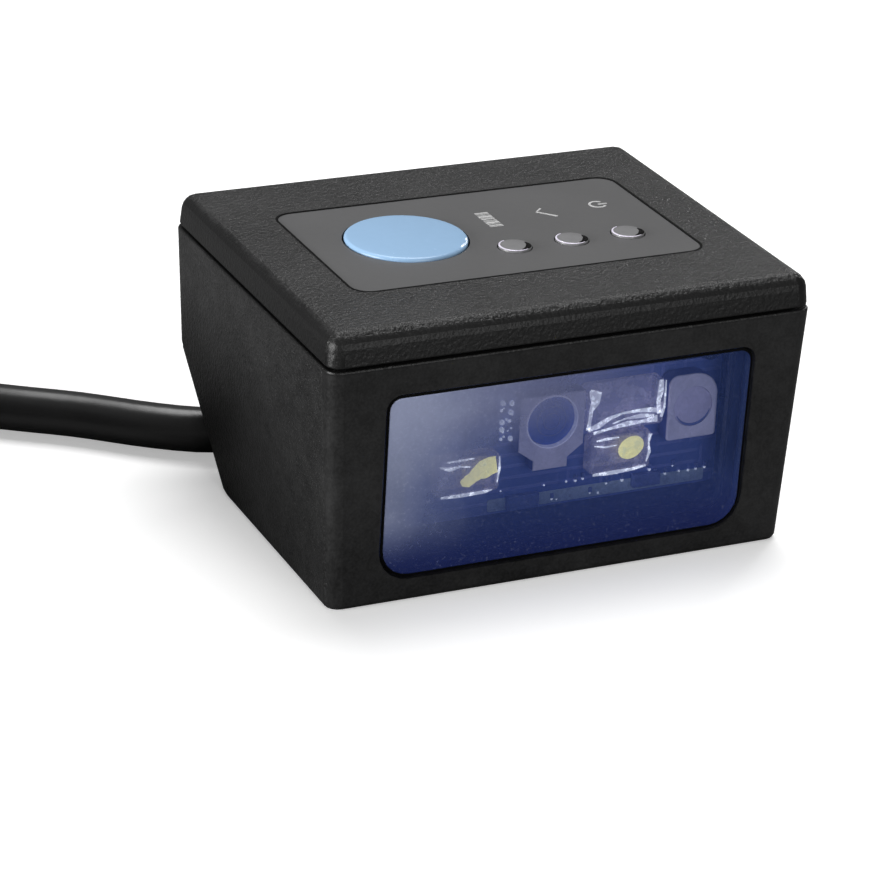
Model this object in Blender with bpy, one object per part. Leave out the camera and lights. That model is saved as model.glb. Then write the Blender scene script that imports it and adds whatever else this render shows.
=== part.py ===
"""Fixed barcode reader: a drafted two-part housing around a scan engine, with its keypad and its cord.

All lengths are in metres and +Z is up. X runs along the window, the window faces -Y, and the origin lies
in the middle of the underside.
"""

import math

import bmesh
import bpy
from mathutils import Matrix, Vector

# General clearances
FIT = 0.00025  # between pieces that are pushed or screwed together
RUNNING_FIT = 0.00020  # round a key that slides

# Housing: outside
WIDTH = 0.0500  # at the seam
DEPTH = 0.0410  # at the seam
SEAM_HEIGHT = 0.0248
TOTAL_HEIGHT = 0.0282
DRAFT = 0.0010  # how far the foot of a drafted wall lies inside its seam edge
SLOPE_HEIGHT = 0.0116  # the chamfer along the lower back
SLOPE_DEPTH = 0.0112
CORNER = 0.0014
BASE_EDGE = 0.0006
RIM_EDGE = 0.00018

# Housing: walls
WALL = 0.0020
FRONT_WALL = 0.0028
FLOOR = 0.0020
INNER_CORNER = 0.0007

# Lid
SEAM_GAP = 0.00025
LID_STEP = 0.00012  # the lid's edge lies this far inside the housing's
LID_DRAFT = 0.00026
LID_THICKNESS = 0.0020
TONGUE_WIDTH = 0.0008
TONGUE_DEPTH = 0.0014
SEAL_THICKNESS = 0.0005

# Label on the lid
LABEL_WIDTH = 0.0366
LABEL_LENGTH = 0.0216
LABEL_RADIUS = 0.0018
LABEL_THICKNESS = 0.00040
LABEL_RECESS = 0.00060
LABEL_BED = 0.00015  # glue below the label

# Trigger key
BUTTON_RADIUS = 0.00603
BUTTON_X = -0.00840
BUTTON_Y = 0.00080
BUTTON_RISE = 0.00065  # above the label
BUTTON_CROWN = 0.00018
BUTTON_WALL = 0.0011
BUTTON_FLANGE = 0.0007
BUTTON_FLANGE_THICKNESS = 0.00055
BUTTON_STEM_RADIUS = 0.0015
BUTTON_TRAVEL = 0.0004

# Indicator lenses
LENS_RADIUS = 0.00162
LENS_X = 0.00080  # the first of three
LENS_PITCH = 0.00610
LENS_Y = -0.00440
LENS_RISE = 0.00055
LENS_FLANGE = 0.0005
LENS_FLANGE_THICKNESS = 0.0005
LENS_TAIL = 0.0009  # below the lid's plate

# Keypad board under the lid
KEYPAD_DROP = 0.00260  # from the lid's underside to the board's top
KEYPAD_THICKNESS = 0.0010
KEYPAD_X = 0.0005
KEYPAD_WIDTH = 0.0336
KEYPAD_LENGTH = 0.0170
SWITCH_SIDE = 0.0062
SWITCH_HEIGHT = 0.0010
PLUNGER_RADIUS = 0.0016
LED_CHIP = 0.0016
LED_CHIP_HEIGHT = 0.0006

# Window, measured along the leaning front wall
WINDOW_WIDTH = 0.0376
WINDOW_HEIGHT = 0.0186
WINDOW_SILL = 0.0028  # from the underside to the window's lower edge
WINDOW_THICKNESS = 0.0012
WINDOW_SETBACK = 0.00012
WINDOW_GAP = 0.00040
WINDOW_TOP_RADIUS = 0.0012
WINDOW_FOOT_RADIUS = 0.0029
WINDOW_EDGE = 0.00018
LEDGE = 0.0009  # of the housing behind the window's rim
GASKET_THICKNESS = 0.00030

# Scan engine
ENGINE_BOARD_Y = -0.01460  # the board's front face
ENGINE_BOARD_LEFT = -0.01450
ENGINE_BOARD_RIGHT = 0.01880
ENGINE_BOARD_FOOT = 0.00520
ENGINE_BOARD_TOP = 0.02140
BOARD_THICKNESS = 0.0012
BOARD_CORNER = 0.0008
LENS_PLATE_DEPTH = 0.0016
LENS_PLATE_HALF = 0.0034
LENS_PLATE_TAB_HALF = 0.0018
LENS_PLATE_TOP = 0.0028  # these four are measured from the camera's axis
LENS_PLATE_SHOULDER = 0.0027
LENS_PLATE_TAB = 0.0039
LENS_PLATE_FOOT = 0.0049
CAMERA_X = -0.00020
CAMERA_Z = 0.01490
CAMERA_BORE = 0.00270
CAMERA_LENS_THICKNESS = 0.0012
LENS_EDGE = 0.0001
SENSOR_SIDE = 0.0040
SENSOR_THICKNESS = 0.0006
LIGHT_WIDTH = 0.0065
LIGHT_HEIGHT = 0.0039
LIGHT_DEPTH = 0.0016
LIGHT_WALL = 0.0005  # round the pocket that takes the chip
LIGHT_EDGE = 0.0003
CLEAR_CORNER = 0.0004
LEFT_LIGHT_X = -0.00870
RIGHT_LIGHT_X = 0.00740
LIGHT_Z = 0.01050
LIGHT_CHIP_SIDE = 0.0026
LIGHT_CHIP_HEIGHT = 0.00045
GUIDE_X = 0.00760
GUIDE_Z = 0.01545
GUIDE_WIDTH = 0.0082
GUIDE_HEIGHT = 0.0047
GUIDE_DEPTH = 0.0017
GUIDE_WALL = 0.0009
GUIDE_EDGE = 0.0002
GUIDE_DISH_RADIUS = 0.0016
AIMER_X = 0.01490
AIMER_Z = 0.01440
AIMER_WIDTH = 0.0054
AIMER_HEIGHT = 0.0068
AIMER_DEPTH = 0.0016
AIMER_BORE = 0.0021
AIMER_CORNER = 0.0010
CHASSIS_THICKNESS = 0.0013
CHASSIS_RAIL = 0.0024
CHASSIS_FOOT = 0.0048
CHASSIS_FOOT_THICKNESS = 0.0012

# Main board on the floor
MAIN_BOARD_WIDTH = 0.0336
MAIN_BOARD_FRONT = -0.0055
MAIN_BOARD_BACK = 0.0090
MAIN_BOARD_HEIGHT = 0.0046  # its lower face above the underside
CHIP_SIDE = 0.0090
CHIP_HEIGHT = 0.0010
BEEPER_RADIUS = 0.0043
BEEPER_HEIGHT = 0.0030
BEEPER_X = 0.0119
BEEPER_Y = 0.0012
HEADER_X = 0.0037
HEADER_Y = 0.0040
HEADER_WIDTH = 0.0060
HEADER_DEPTH = 0.0030
HEADER_HEIGHT = 0.0016
PLUG_IN_HEIGHT = 0.0018
FLEX_THICKNESS = 0.00025
ENGINE_FLEX_WIDTH = 0.0060
KEYPAD_FLEX_WIDTH = 0.0040

# Screws, bosses and inserts
SCREW_X = 0.0202
SCREW_FRONT_Y = -0.0088
SCREW_BACK_Y = 0.0052
SCREW_RADIUS = 0.0010
SCREW_HEAD_RADIUS = 0.0018
SCREW_HEAD_HEIGHT = 0.0011
SCREW_LENGTH = 0.0120
BOSS_RADIUS = 0.0022
BOSS_HEIGHT = 0.0120
SMALL_SCREW_RADIUS = 0.0007
SMALL_HEAD_RADIUS = 0.0013
SMALL_HEAD_HEIGHT = 0.0006
SMALL_SCREW_LENGTH = 0.0024
SMALL_BOSS_RADIUS = 0.0016
INSERT_X = 0.0120
INSERT_Y = 0.0020
INSERT_RADIUS = 0.0021
INSERT_BORE = 0.00125
INSERT_LENGTH = 0.0030
INSERT_RECESS = 0.0002
INSERT_BOSS_RADIUS = 0.0032
INSERT_CAP = 0.0005  # plastic over the insert's end
PILOT_FLOOR = 0.0008  # plastic left below the deepest screw pilots

# Cord and its outlet in the sloping wall
CORD_RADIUS = 0.0024
OUTLET_X = 0.0050
OUTLET_ALONG = 0.0098  # up the slope from the underside
OUTLET_RADIUS = 0.0030
BOOT_FLANGE_RADIUS = 0.0044
BOOT_FLANGE_THICKNESS = 0.0010
BOOT_HEAD_RADIUS = 0.0037
BOOT_RADIUS = 0.0034
BOOT_TIP_RADIUS = 0.0029
BOOT_RISE = 0.0038  # from the slope to the boot's axis
BOOT_LENGTH = 0.0105  # from the outlet's axis to the tip
BOOT_GROOVES = 4
BOOT_GROOVE_DEPTH = 0.0004
INNER_LEAD_RADIUS = 0.0008
COIL_CENTRE = (-0.08065, 0.0210)
COIL_RADIUS = 0.0260  # to the middle of the turns
COIL_COLUMNS = 3
COIL_ROWS = 4
TIE_THICKNESS = 0.0008
TIE_WIDTH = 0.0030
PLUG_WIDTH = 0.0155
PLUG_HEIGHT = 0.0080
PLUG_LENGTH = 0.0240
PLUG_NECK = 0.0060
PLUG_EDGE = 0.0008
SHELL_WIDTH = 0.0120
SHELL_HEIGHT = 0.0045
SHELL_LENGTH = 0.0150
SHELL_WALL = 0.0005
SHELL_CORNER = 0.0004
TONGUE_HEIGHT = 0.0014

# Worked out from the sizes above
LEAN = math.atan2(DRAFT, SEAM_HEIGHT)
FRONT_FOOT = -DEPTH / 2 + DRAFT
SLOPE_ANGLE = math.atan2(SLOPE_HEIGHT, SLOPE_DEPTH)
SLOPE_FOOT = DEPTH / 2 - SLOPE_DEPTH
LID_UNDERSIDE = TOTAL_HEIGHT - LID_THICKNESS
LABEL_TOP = TOTAL_HEIGHT - LABEL_RECESS + LABEL_BED + LABEL_THICKNESS
KEYPAD_TOP = LID_UNDERSIDE - KEYPAD_DROP
MAIN_TOP = MAIN_BOARD_HEIGHT + BOARD_THICKNESS
ENGINE_BACK_Y = ENGINE_BOARD_Y + BOARD_THICKNESS
COIL_LIFT = TIE_THICKNESS + FIT
COIL_HALF = COIL_COLUMNS * CORD_RADIUS

# Where the cord lies between its boot and its coil, and between its coil and its plug
LEAD_ROUTE = [
    (-0.0112, 0.0183, 0.0039),
    (-0.0145, 0.0177, 0.0031),
    (-0.0180, 0.0176, 0.0026),
    (-0.0221, 0.0188, 0.0024),
    (-0.0270, 0.0218, 0.0024),
    (-0.0330, 0.0266, 0.0024),
    (-0.0383, 0.0301, 0.0024),
    (-0.0430, 0.0334, 0.0024),
    (-0.0489, 0.0372, 0.0028),
]
TAIL_ROUTE = [
    (-0.0928, 0.0544, 0.0058),
    (-0.1017, 0.0544, 0.0036),
    (-0.1100, 0.0513, 0.0025),
    (-0.1168, 0.0456, 0.0025),
    (-0.1213, 0.0379, 0.0031),
    (-0.1228, 0.0300, 0.0038),
    (-0.1228, 0.0275, 0.0040),
]


def clear_scene():
    for obj in list(bpy.data.objects):
        bpy.data.objects.remove(obj, do_unlink=True)


def material(name, colour, roughness, metallic=0.0):
    made = bpy.data.materials.new(name)
    made.use_nodes = True
    shader = made.node_tree.nodes["Principled BSDF"]
    shader.inputs["Base Color"].default_value = (*colour, 1.0)
    shader.inputs["Roughness"].default_value = roughness
    shader.inputs["Metallic"].default_value = metallic
    made.diffuse_color = (*colour, 1.0)
    return made


def new_object(name, bm, finish, parent=None, location=(0, 0, 0), rotation=(0, 0, 0)):
    """Turns a bmesh into a named object with its own mesh, its normals out and its round faces smooth."""
    bmesh.ops.recalc_face_normals(bm, faces=bm.faces)
    mesh = bpy.data.meshes.new(name)
    bm.to_mesh(mesh)
    bm.free()
    mesh.shade_smooth()
    mesh.set_sharp_from_angle(angle=math.radians(32))
    obj = bpy.data.objects.new(name, mesh)
    bpy.context.scene.collection.objects.link(obj)
    if finish:
        mesh.materials.append(finish)
    obj.parent = parent
    obj.location = location
    obj.rotation_euler = rotation
    return obj


def new_frame(name, location, rotation=(0, 0, 0)):
    empty = bpy.data.objects.new(name, None)
    bpy.context.scene.collection.objects.link(empty)
    empty.empty_display_size = 0.005
    empty.location = location
    empty.rotation_euler = rotation
    return empty


def boolean(target, cutter, operation):
    """Cuts or joins a helper, which is then left out of the render."""
    modifier = target.modifiers.new(f"{operation.lower()} {cutter.name}", "BOOLEAN")
    modifier.operation = operation
    modifier.solver = "EXACT"
    modifier.object = cutter
    cutter.hide_render = True
    cutter.display_type = "WIRE"


def cut(target, *cutters):
    for cutter in cutters:
        boolean(target, cutter, "DIFFERENCE")


def join(target, *pieces):
    for piece in pieces:
        boolean(target, piece, "UNION")


def rounded_outline(width, height, radii, segments=5, centre=(0.0, 0.0)):
    """A rectangle's outline with its corners rounded, counter-clockwise from the lower right corner.

    radii holds the radius of the lower right, upper right, upper left and lower left corner.
    """
    points = []
    turns = ((1, -1, -90), (1, 1, 0), (-1, 1, 90), (-1, -1, 180))
    for radius, (side, level, start) in zip(radii, turns):
        x = centre[0] + side * (width / 2 - radius)
        y = centre[1] + level * (height / 2 - radius)
        steps = segments if radius > 0 else 0
        for step in range(steps + 1):
            angle = math.radians(start + (90 * step / segments if steps else 0))
            points.append((x + radius * math.cos(angle), y + radius * math.sin(angle)))
    return points


def prism(outline, low, high, edge=0.0):
    """The outline extruded along Z from low to high, with its upper edge rounded by edge."""
    bm = bmesh.new()
    base = bm.faces.new([bm.verts.new((x, y, low)) for x, y in outline])
    raised = bmesh.ops.extrude_face_region(bm, geom=[base])
    top = [item for item in raised["geom"] if isinstance(item, bmesh.types.BMVert)]
    bmesh.ops.translate(bm, verts=top, vec=(0, 0, high - low))
    if edge > 0:
        soften(bm, edge, 2, lambda e: all(v.co.z > high - 1e-6 for v in e.verts))
    return bm


def block(width, depth, low, high, edge=0.0):
    return prism(rounded_outline(width, depth, (0, 0, 0, 0)), low, high, edge)


def turned(profile, steps=32):
    """A profile of (radius, z) points spun about Z; it starts and ends on the axis or closes on itself."""
    bm = bmesh.new()
    on_axis = profile[0][0] == 0 and profile[-1][0] == 0
    verts = [bm.verts.new((radius, 0, z)) for radius, z in profile]
    edges = [bm.edges.new(pair) for pair in zip(verts, verts[1:])]
    if not on_axis:
        edges.append(bm.edges.new((verts[-1], verts[0])))
    bmesh.ops.spin(
        bm,
        geom=verts + edges,
        cent=(0, 0, 0),
        axis=(0, 0, 1),
        angle=2 * math.pi,
        steps=steps,
        use_merge=True,
    )
    bmesh.ops.remove_doubles(bm, verts=bm.verts, dist=1e-7)
    return bm


def disc(radius, low, high, steps=24):
    return turned([(0, low), (radius, low), (radius, high), (0, high)], steps)


def soften(bm, radius, segments, chosen):
    edges = [edge for edge in bm.edges if chosen(edge)]
    bmesh.ops.bevel(
        bm,
        geom=edges,
        offset=radius,
        segments=segments,
        profile=0.5,
        affect="EDGES",
        material=-1,
        clamp_overlap=True,
    )


def drafted_solid(profile, half_width):
    """A closed solid whose section in YZ is profile and whose half width at height z is half_width(z)."""
    bm = bmesh.new()
    left = [bm.verts.new((-half_width(z), y, z)) for y, z in profile]
    right = [bm.verts.new((half_width(z), y, z)) for y, z in profile]
    bm.faces.new(left)
    bm.faces.new(reversed(right))
    for i in range(len(profile)):
        j = (i + 1) % len(profile)
        bm.faces.new((left[i], left[j], right[j], right[i]))
    bmesh.ops.recalc_face_normals(bm, faces=bm.faces)
    return bm


def inset_profile(profile, walls):
    """The polygon whose side i lies walls[i] inside the side that leaves corner i of the given one."""
    lines = []
    for i, wall in enumerate(walls):
        start = Vector(profile[i])
        along = (Vector(profile[(i + 1) % len(profile)]) - start).normalized()
        lines.append((start + Vector((-along.y, along.x)) * wall, along))
    corners = []
    for i, (start, along) in enumerate(lines):
        before, direction = lines[i - 1]
        distance = (start - before).cross(along) / direction.cross(along)
        corners.append(tuple(before + direction * distance))
    return corners


def smooth_curve(points, spacing):
    """Points read at even spacing from a smooth curve through the given ones."""
    knots = [Vector(point) for point in points]
    knots = [2 * knots[0] - knots[1], *knots, 2 * knots[-1] - knots[-2]]
    fine = [knots[1]]
    for a, b, c, d in zip(knots, knots[1:], knots[2:], knots[3:]):
        for step in range(1, 21):
            t = step / 20
            fine.append(
                0.5
                * (
                    2 * b
                    + (c - a) * t
                    + (2 * a - 5 * b + 4 * c - d) * t * t
                    + (3 * b - a - 3 * c + d) * t * t * t
                )
            )
    lengths = [0.0]
    for start, end in zip(fine, fine[1:]):
        lengths.append(lengths[-1] + (end - start).length)
    count = max(2, round(lengths[-1] / spacing))
    read = []
    index = 0
    for step in range(count + 1):
        wanted = lengths[-1] * step / count
        while index < len(lengths) - 2 and lengths[index + 1] < wanted:
            index += 1
        share = (wanted - lengths[index]) / (lengths[index + 1] - lengths[index])
        read.append(fine[index].lerp(fine[index + 1], min(1.0, share)))
    return read


def tube(name, points, radius, finish, resolution=2):
    data = bpy.data.curves.new(name, "CURVE")
    data.dimensions = "3D"
    data.bevel_depth = radius
    data.bevel_resolution = resolution
    data.use_fill_caps = True
    spline = data.splines.new("POLY")
    spline.points.add(len(points) - 1)
    for target, point in zip(spline.points, points):
        target.co = (*point, 1.0)
    data.materials.append(finish)
    obj = bpy.data.objects.new(name, data)
    bpy.context.scene.collection.objects.link(obj)
    return obj


def ribbon(path, width, thickness, x):
    """A flat strip along a path in YZ, width wide along X and thickness thick."""
    points = [Vector(point) for point in path]
    above, below = [], []
    for i, point in enumerate(points):
        along = (points[min(i + 1, len(points) - 1)] - points[max(i - 1, 0)]).normalized()
        normal = Vector((-along.y, along.x)) * thickness / 2
        above.append(point + normal)
        below.append(point - normal)
    outline = above + list(reversed(below))
    bm = bmesh.new()
    face = bm.faces.new([bm.verts.new((x - width / 2, y, z)) for y, z in outline])
    grown = bmesh.ops.extrude_face_region(bm, geom=[face])
    verts = [item for item in grown["geom"] if isinstance(item, bmesh.types.BMVert)]
    bmesh.ops.translate(bm, verts=verts, vec=(width, 0, 0))
    return bm


def screw(name, shank, head, length, head_height, finish, location, rotation=(0, 0, 0)):
    """A screw whose shank runs up from its head's upper face, which lies at the location."""
    socket = head * 0.5
    profile = [
        (0, -head_height * 0.4),
        (socket, -head_height * 0.4),
        (socket, -head_height),
        (head * 0.85, -head_height),
        (head, -head_height * 0.75),
        (head, 0),
        (shank, 0),
        (shank, length - shank * 0.6),
        (shank * 0.5, length),
        (0, length),
    ]
    return new_object(name, turned(profile, 12), finish, location=location, rotation=rotation)


def housing_half_width(z):
    return WIDTH / 2 - DRAFT * (SEAM_HEIGHT - z) / SEAM_HEIGHT


def housing_profile():
    """The housing's section in YZ: floor, sloping wall, back, open top, front."""
    return [
        (FRONT_FOOT, 0.0),
        (SLOPE_FOOT, 0.0),
        (DEPTH / 2, SLOPE_HEIGHT),
        (DEPTH / 2, SEAM_HEIGHT),
        (-DEPTH / 2, SEAM_HEIGHT),
    ]


def ring_cutter(name, inset, low, high):
    """A straight-sided block inset from the housing's seam outline, for the rebate, tongue and seal."""
    radius = max(CORNER - inset, INNER_CORNER)
    outline = rounded_outline(WIDTH - 2 * inset, DEPTH - 2 * inset, (radius,) * 4, 4)
    return new_object(name, prism(outline, low, high), None)


def post(name, radius, x, y, low, high, steps=16):
    return new_object(name, disc(radius, low, high, steps), None, location=(x, y, 0))


def housing_screw_places():
    return [(side * SCREW_X, y) for y in (SCREW_FRONT_Y, SCREW_BACK_Y) for side in (-1, 1)]


def main_screw_places():
    inset = SMALL_BOSS_RADIUS + FIT
    x = MAIN_BOARD_WIDTH / 2 - inset
    rows = (MAIN_BOARD_FRONT + inset, MAIN_BOARD_BACK - inset)
    return [(side * x, y) for y in rows for side in (-1, 1)]


def chassis_screw_places():
    y = ENGINE_BACK_Y + FIT + CHASSIS_THICKNESS + CHASSIS_FOOT / 2
    left = ENGINE_BOARD_LEFT + CHASSIS_FOOT
    right = ENGINE_BOARD_RIGHT - CHASSIS_FOOT
    return [(left, y), (right, y)]


def make_base_housing(finish, front, slope):
    """The lower shell: drafted outside, hollow inside, with its window rebate, bosses and cord outlet."""
    profile = housing_profile()
    bm = drafted_solid(profile, housing_half_width)
    back = DEPTH / 2

    def at_rim(edge):
        return all(abs(v.co.z - SEAM_HEIGHT) < 1e-6 for v in edge.verts)

    def at_floor(edge):
        return all(abs(v.co.z) < 1e-6 for v in edge.verts)

    def is_bend(edge):
        return all(abs(v.co.y - back) < 1e-6 and abs(v.co.z - SLOPE_HEIGHT) < 1e-6 for v in edge.verts)

    def is_upright(edge):
        one_side = edge.verts[0].co.x * edge.verts[1].co.x > 0
        return one_side and not at_rim(edge) and not at_floor(edge)

    soften(bm, CORNER, 4, lambda edge: is_upright(edge) or is_bend(edge))
    soften(bm, BASE_EDGE, 2, at_floor)
    soften(bm, RIM_EDGE, 2, at_rim)
    housing = new_object("base_housing", bm, finish)

    above = SEAM_HEIGHT
    inner = inset_profile(profile, (FLOOR, WALL, WALL, -above, FRONT_WALL))
    bm = drafted_solid(inner, lambda z: housing_half_width(z) - WALL)
    soften(bm, INNER_CORNER, 2, lambda edge: edge.verts[0].co.x * edge.verts[1].co.x > 0)
    cut(housing, new_object("cavity", bm, None))

    rebate_depth = TONGUE_DEPTH + SEAL_THICKNESS + 2 * FIT
    rebate_inset = WALL - TONGUE_WIDTH - FIT
    rebate_floor = SEAM_HEIGHT - rebate_depth
    cut(housing, ring_cutter("seam_rebate", rebate_inset, rebate_floor, SEAM_HEIGHT + above))

    for i, (x, y) in enumerate(housing_screw_places()):
        join(housing, post(f"boss_{i}", BOSS_RADIUS, x, y, FLOOR / 2, BOSS_HEIGHT))
    for i, (x, y) in enumerate(main_screw_places()):
        standoff = (SMALL_BOSS_RADIUS, x, y, FLOOR / 2, MAIN_BOARD_HEIGHT - FIT)
        join(housing, post(f"standoff_{i}", *standoff))
    for i, (x, y) in enumerate(chassis_screw_places()):
        join(housing, post(f"chassis_pad_{i}", CHASSIS_FOOT / 2, x, y, FLOOR / 2, FLOOR + FIT))
    insert_end = INSERT_RECESS + INSERT_LENGTH
    for side in (-1, 1):
        cap = insert_end + INSERT_CAP + FIT
        boss = (INSERT_BOSS_RADIUS, side * INSERT_X, INSERT_Y, FLOOR / 2, cap)
        join(housing, post(f"insert_boss_{side}", *boss))

    sink = SCREW_HEAD_HEIGHT + FIT
    stepped = [
        (0, -FLOOR),
        (SCREW_HEAD_RADIUS + FIT, -FLOOR),
        (SCREW_HEAD_RADIUS + FIT, sink),
        (SCREW_RADIUS + FIT, sink),
        (SCREW_RADIUS + FIT, BOSS_HEIGHT + FLOOR),
        (0, BOSS_HEIGHT + FLOOR),
    ]
    for i, (x, y) in enumerate(housing_screw_places()):
        cut(housing, new_object(f"screw_way_{i}", turned(stepped, 18), None, location=(x, y, 0)))
    for i, (x, y) in enumerate(main_screw_places()):
        way = (SMALL_SCREW_RADIUS + FIT, x, y, FLOOR - PILOT_FLOOR / 2, MAIN_TOP)
        cut(housing, post(f"standoff_way_{i}", *way, steps=12))
    for i, (x, y) in enumerate(chassis_screw_places()):
        way = (SMALL_SCREW_RADIUS + FIT, x, y, PILOT_FLOOR, MAIN_TOP)
        cut(housing, post(f"chassis_way_{i}", *way, steps=12))
    for side in (-1, 1):
        way = (INSERT_RADIUS + FIT / 2, side * INSERT_X, INSERT_Y, -FLOOR, insert_end + FIT)
        cut(housing, post(f"insert_way_{side}", *way, steps=20))

    cut(housing, *window_cutters(front))
    hole = new_object("outlet_hole", disc(OUTLET_RADIUS + FIT / 2, -2 * WALL, WALL, 20), None, slope)
    hole.location = (OUTLET_X, -OUTLET_ALONG, 0)
    cut(housing, hole)
    return housing


def window_outline(grow, segments=5):
    radii = [max(radius + grow, 0.0003) for radius in (WINDOW_FOOT_RADIUS, WINDOW_TOP_RADIUS) * 2]
    radii[2], radii[3] = radii[3], radii[2]
    centre = (0.0, WINDOW_SILL + WINDOW_HEIGHT / 2)
    return rounded_outline(WINDOW_WIDTH + 2 * grow, WINDOW_HEIGHT + 2 * grow, radii, segments, centre)


def window_cutters(front):
    """The rebate that takes the window and its gasket, and the aperture behind them."""
    depth = WINDOW_SETBACK + WINDOW_THICKNESS + GASKET_THICKNESS + 2 * FIT
    rebate = new_object("window_rebate", prism(window_outline(WINDOW_GAP), -depth, WALL), None, front)
    through = prism(window_outline(-LEDGE), -2 * FRONT_WALL, WALL)
    aperture = new_object("window_aperture", through, None, front)
    return rebate, aperture


def make_window(finish, front):
    face = -WINDOW_SETBACK
    bm = prism(window_outline(0.0), face - WINDOW_THICKNESS, face, WINDOW_EDGE)
    return new_object("window", bm, finish, front)


def make_window_gasket(finish, front):
    face = -WINDOW_SETBACK - WINDOW_THICKNESS - FIT
    bm = prism(window_outline(0.0), face - GASKET_THICKNESS, face)
    gasket = new_object("window_gasket", bm, finish, front)
    through = prism(window_outline(-LEDGE), -2 * FRONT_WALL, WALL)
    cut(gasket, new_object("gasket_hole", through, None, front))
    return gasket


def make_top_cover(finish):
    """The lid: a drafted cap with a tongue that enters the housing's rim, and a recess for the label."""
    low = SEAM_HEIGHT + SEAM_GAP
    rise = TOTAL_HEIGHT - low
    near, far = -DEPTH / 2 + LID_STEP, DEPTH / 2 - LID_STEP
    profile = [
        (near, low),
        (far, low),
        (far - LID_DRAFT, TOTAL_HEIGHT),
        (near + LID_DRAFT, TOTAL_HEIGHT),
    ]
    bm = drafted_solid(profile, lambda z: WIDTH / 2 - LID_STEP - LID_DRAFT * (z - low) / rise)
    soften(bm, CORNER, 4, lambda edge: any(v.co.z > low + rise / 2 for v in edge.verts))
    soften(bm, RIM_EDGE, 2, lambda edge: all(abs(v.co.z - low) < 1e-6 for v in edge.verts))
    lid = new_object("top_cover", bm, finish)

    tongue_foot = SEAM_HEIGHT - TONGUE_DEPTH
    join(lid, ring_cutter("tongue", WALL - TONGUE_WIDTH, tongue_foot, low + rise / 3))
    cut(lid, ring_cutter("lid_cavity", WALL, tongue_foot - WALL, LID_UNDERSIDE))
    root = LID_UNDERSIDE + LID_THICKNESS / 4
    for i, (x, y) in enumerate(housing_screw_places()):
        join(lid, post(f"lid_boss_{i}", BOSS_RADIUS, x, y, BOSS_HEIGHT + FIT, root))
    for i, (x, y) in enumerate(keypad_screw_places()):
        join(lid, post(f"keypad_boss_{i}", SMALL_BOSS_RADIUS, x, y, KEYPAD_TOP + FIT, root))
    for i, (x, y) in enumerate(housing_screw_places()):
        end = SCREW_HEAD_HEIGHT + SCREW_LENGTH + FLOOR + FIT
        pilot = (SCREW_RADIUS + FIT / 2, x, y, BOSS_HEIGHT - FLOOR, end)
        cut(lid, post(f"lid_pilot_{i}", *pilot, steps=12))
    for i, (x, y) in enumerate(keypad_screw_places()):
        end = KEYPAD_TOP - KEYPAD_THICKNESS + SMALL_SCREW_LENGTH + FIT
        pilot = (SMALL_SCREW_RADIUS + FIT / 2, x, y, KEYPAD_TOP - FLOOR, end)
        cut(lid, post(f"keypad_pilot_{i}", *pilot, steps=14))

    size = (LABEL_WIDTH + 2 * FIT, LABEL_LENGTH + 2 * FIT)
    recess = rounded_outline(*size, (LABEL_RADIUS + FIT,) * 4, 6)
    above = TOTAL_HEIGHT + LID_THICKNESS
    cut(lid, new_object("label_recess", prism(recess, TOTAL_HEIGHT - LABEL_RECESS, above), None))
    cut(lid, *keypad_ways("lid", LID_UNDERSIDE - LID_THICKNESS, above))
    return lid


def keypad_ways(name, low, high):
    """The holes for the key and the three lenses."""
    ways = [
        post(f"{name}_key_way", BUTTON_RADIUS + RUNNING_FIT, BUTTON_X, BUTTON_Y, low, high, steps=40)
    ]
    for i in range(3):
        way = (LENS_RADIUS + FIT / 2, LENS_X + i * LENS_PITCH, LENS_Y, low, high)
        ways.append(post(f"{name}_lens_way_{i}", *way, steps=24))
    return ways


def make_cover_seal(finish):
    """The rubber ring that lies in the rim's rebate, under the lid's tongue."""
    high = SEAM_HEIGHT - TONGUE_DEPTH - FIT
    seal = ring_cutter("cover_seal", WALL - TONGUE_WIDTH, high - SEAL_THICKNESS, high)
    seal.data.materials.append(finish)
    cut(seal, ring_cutter("seal_hole", WALL, high - 2 * SEAL_THICKNESS, high + SEAL_THICKNESS))
    return seal


def make_keypad_label(finish):
    outline = rounded_outline(LABEL_WIDTH, LABEL_LENGTH, (LABEL_RADIUS,) * 4, 6)
    bm = prism(outline, LABEL_TOP - LABEL_THICKNESS, LABEL_TOP)
    label = new_object("keypad_label", bm, finish)
    cut(label, *keypad_ways("label", LABEL_TOP - 2 * LABEL_RECESS, LABEL_TOP + LABEL_RECESS))
    return label


def crowned_top(radius, shoulder, edge, crown, segments=3):
    """The (radius, z) points of a cap's top, from its rounded shoulder in to the axis."""
    points = []
    for step in range(segments + 1):
        angle = math.radians(90 * step / segments)
        outward, upward = edge * math.cos(angle), edge * math.sin(angle)
        points.append((radius - edge + outward, shoulder - edge + upward))
    inner = radius - edge
    for share in (0.66, 0.33, 0.0):
        points.append((inner * share, shoulder + crown * (1 - share * share)))
    return points


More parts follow.
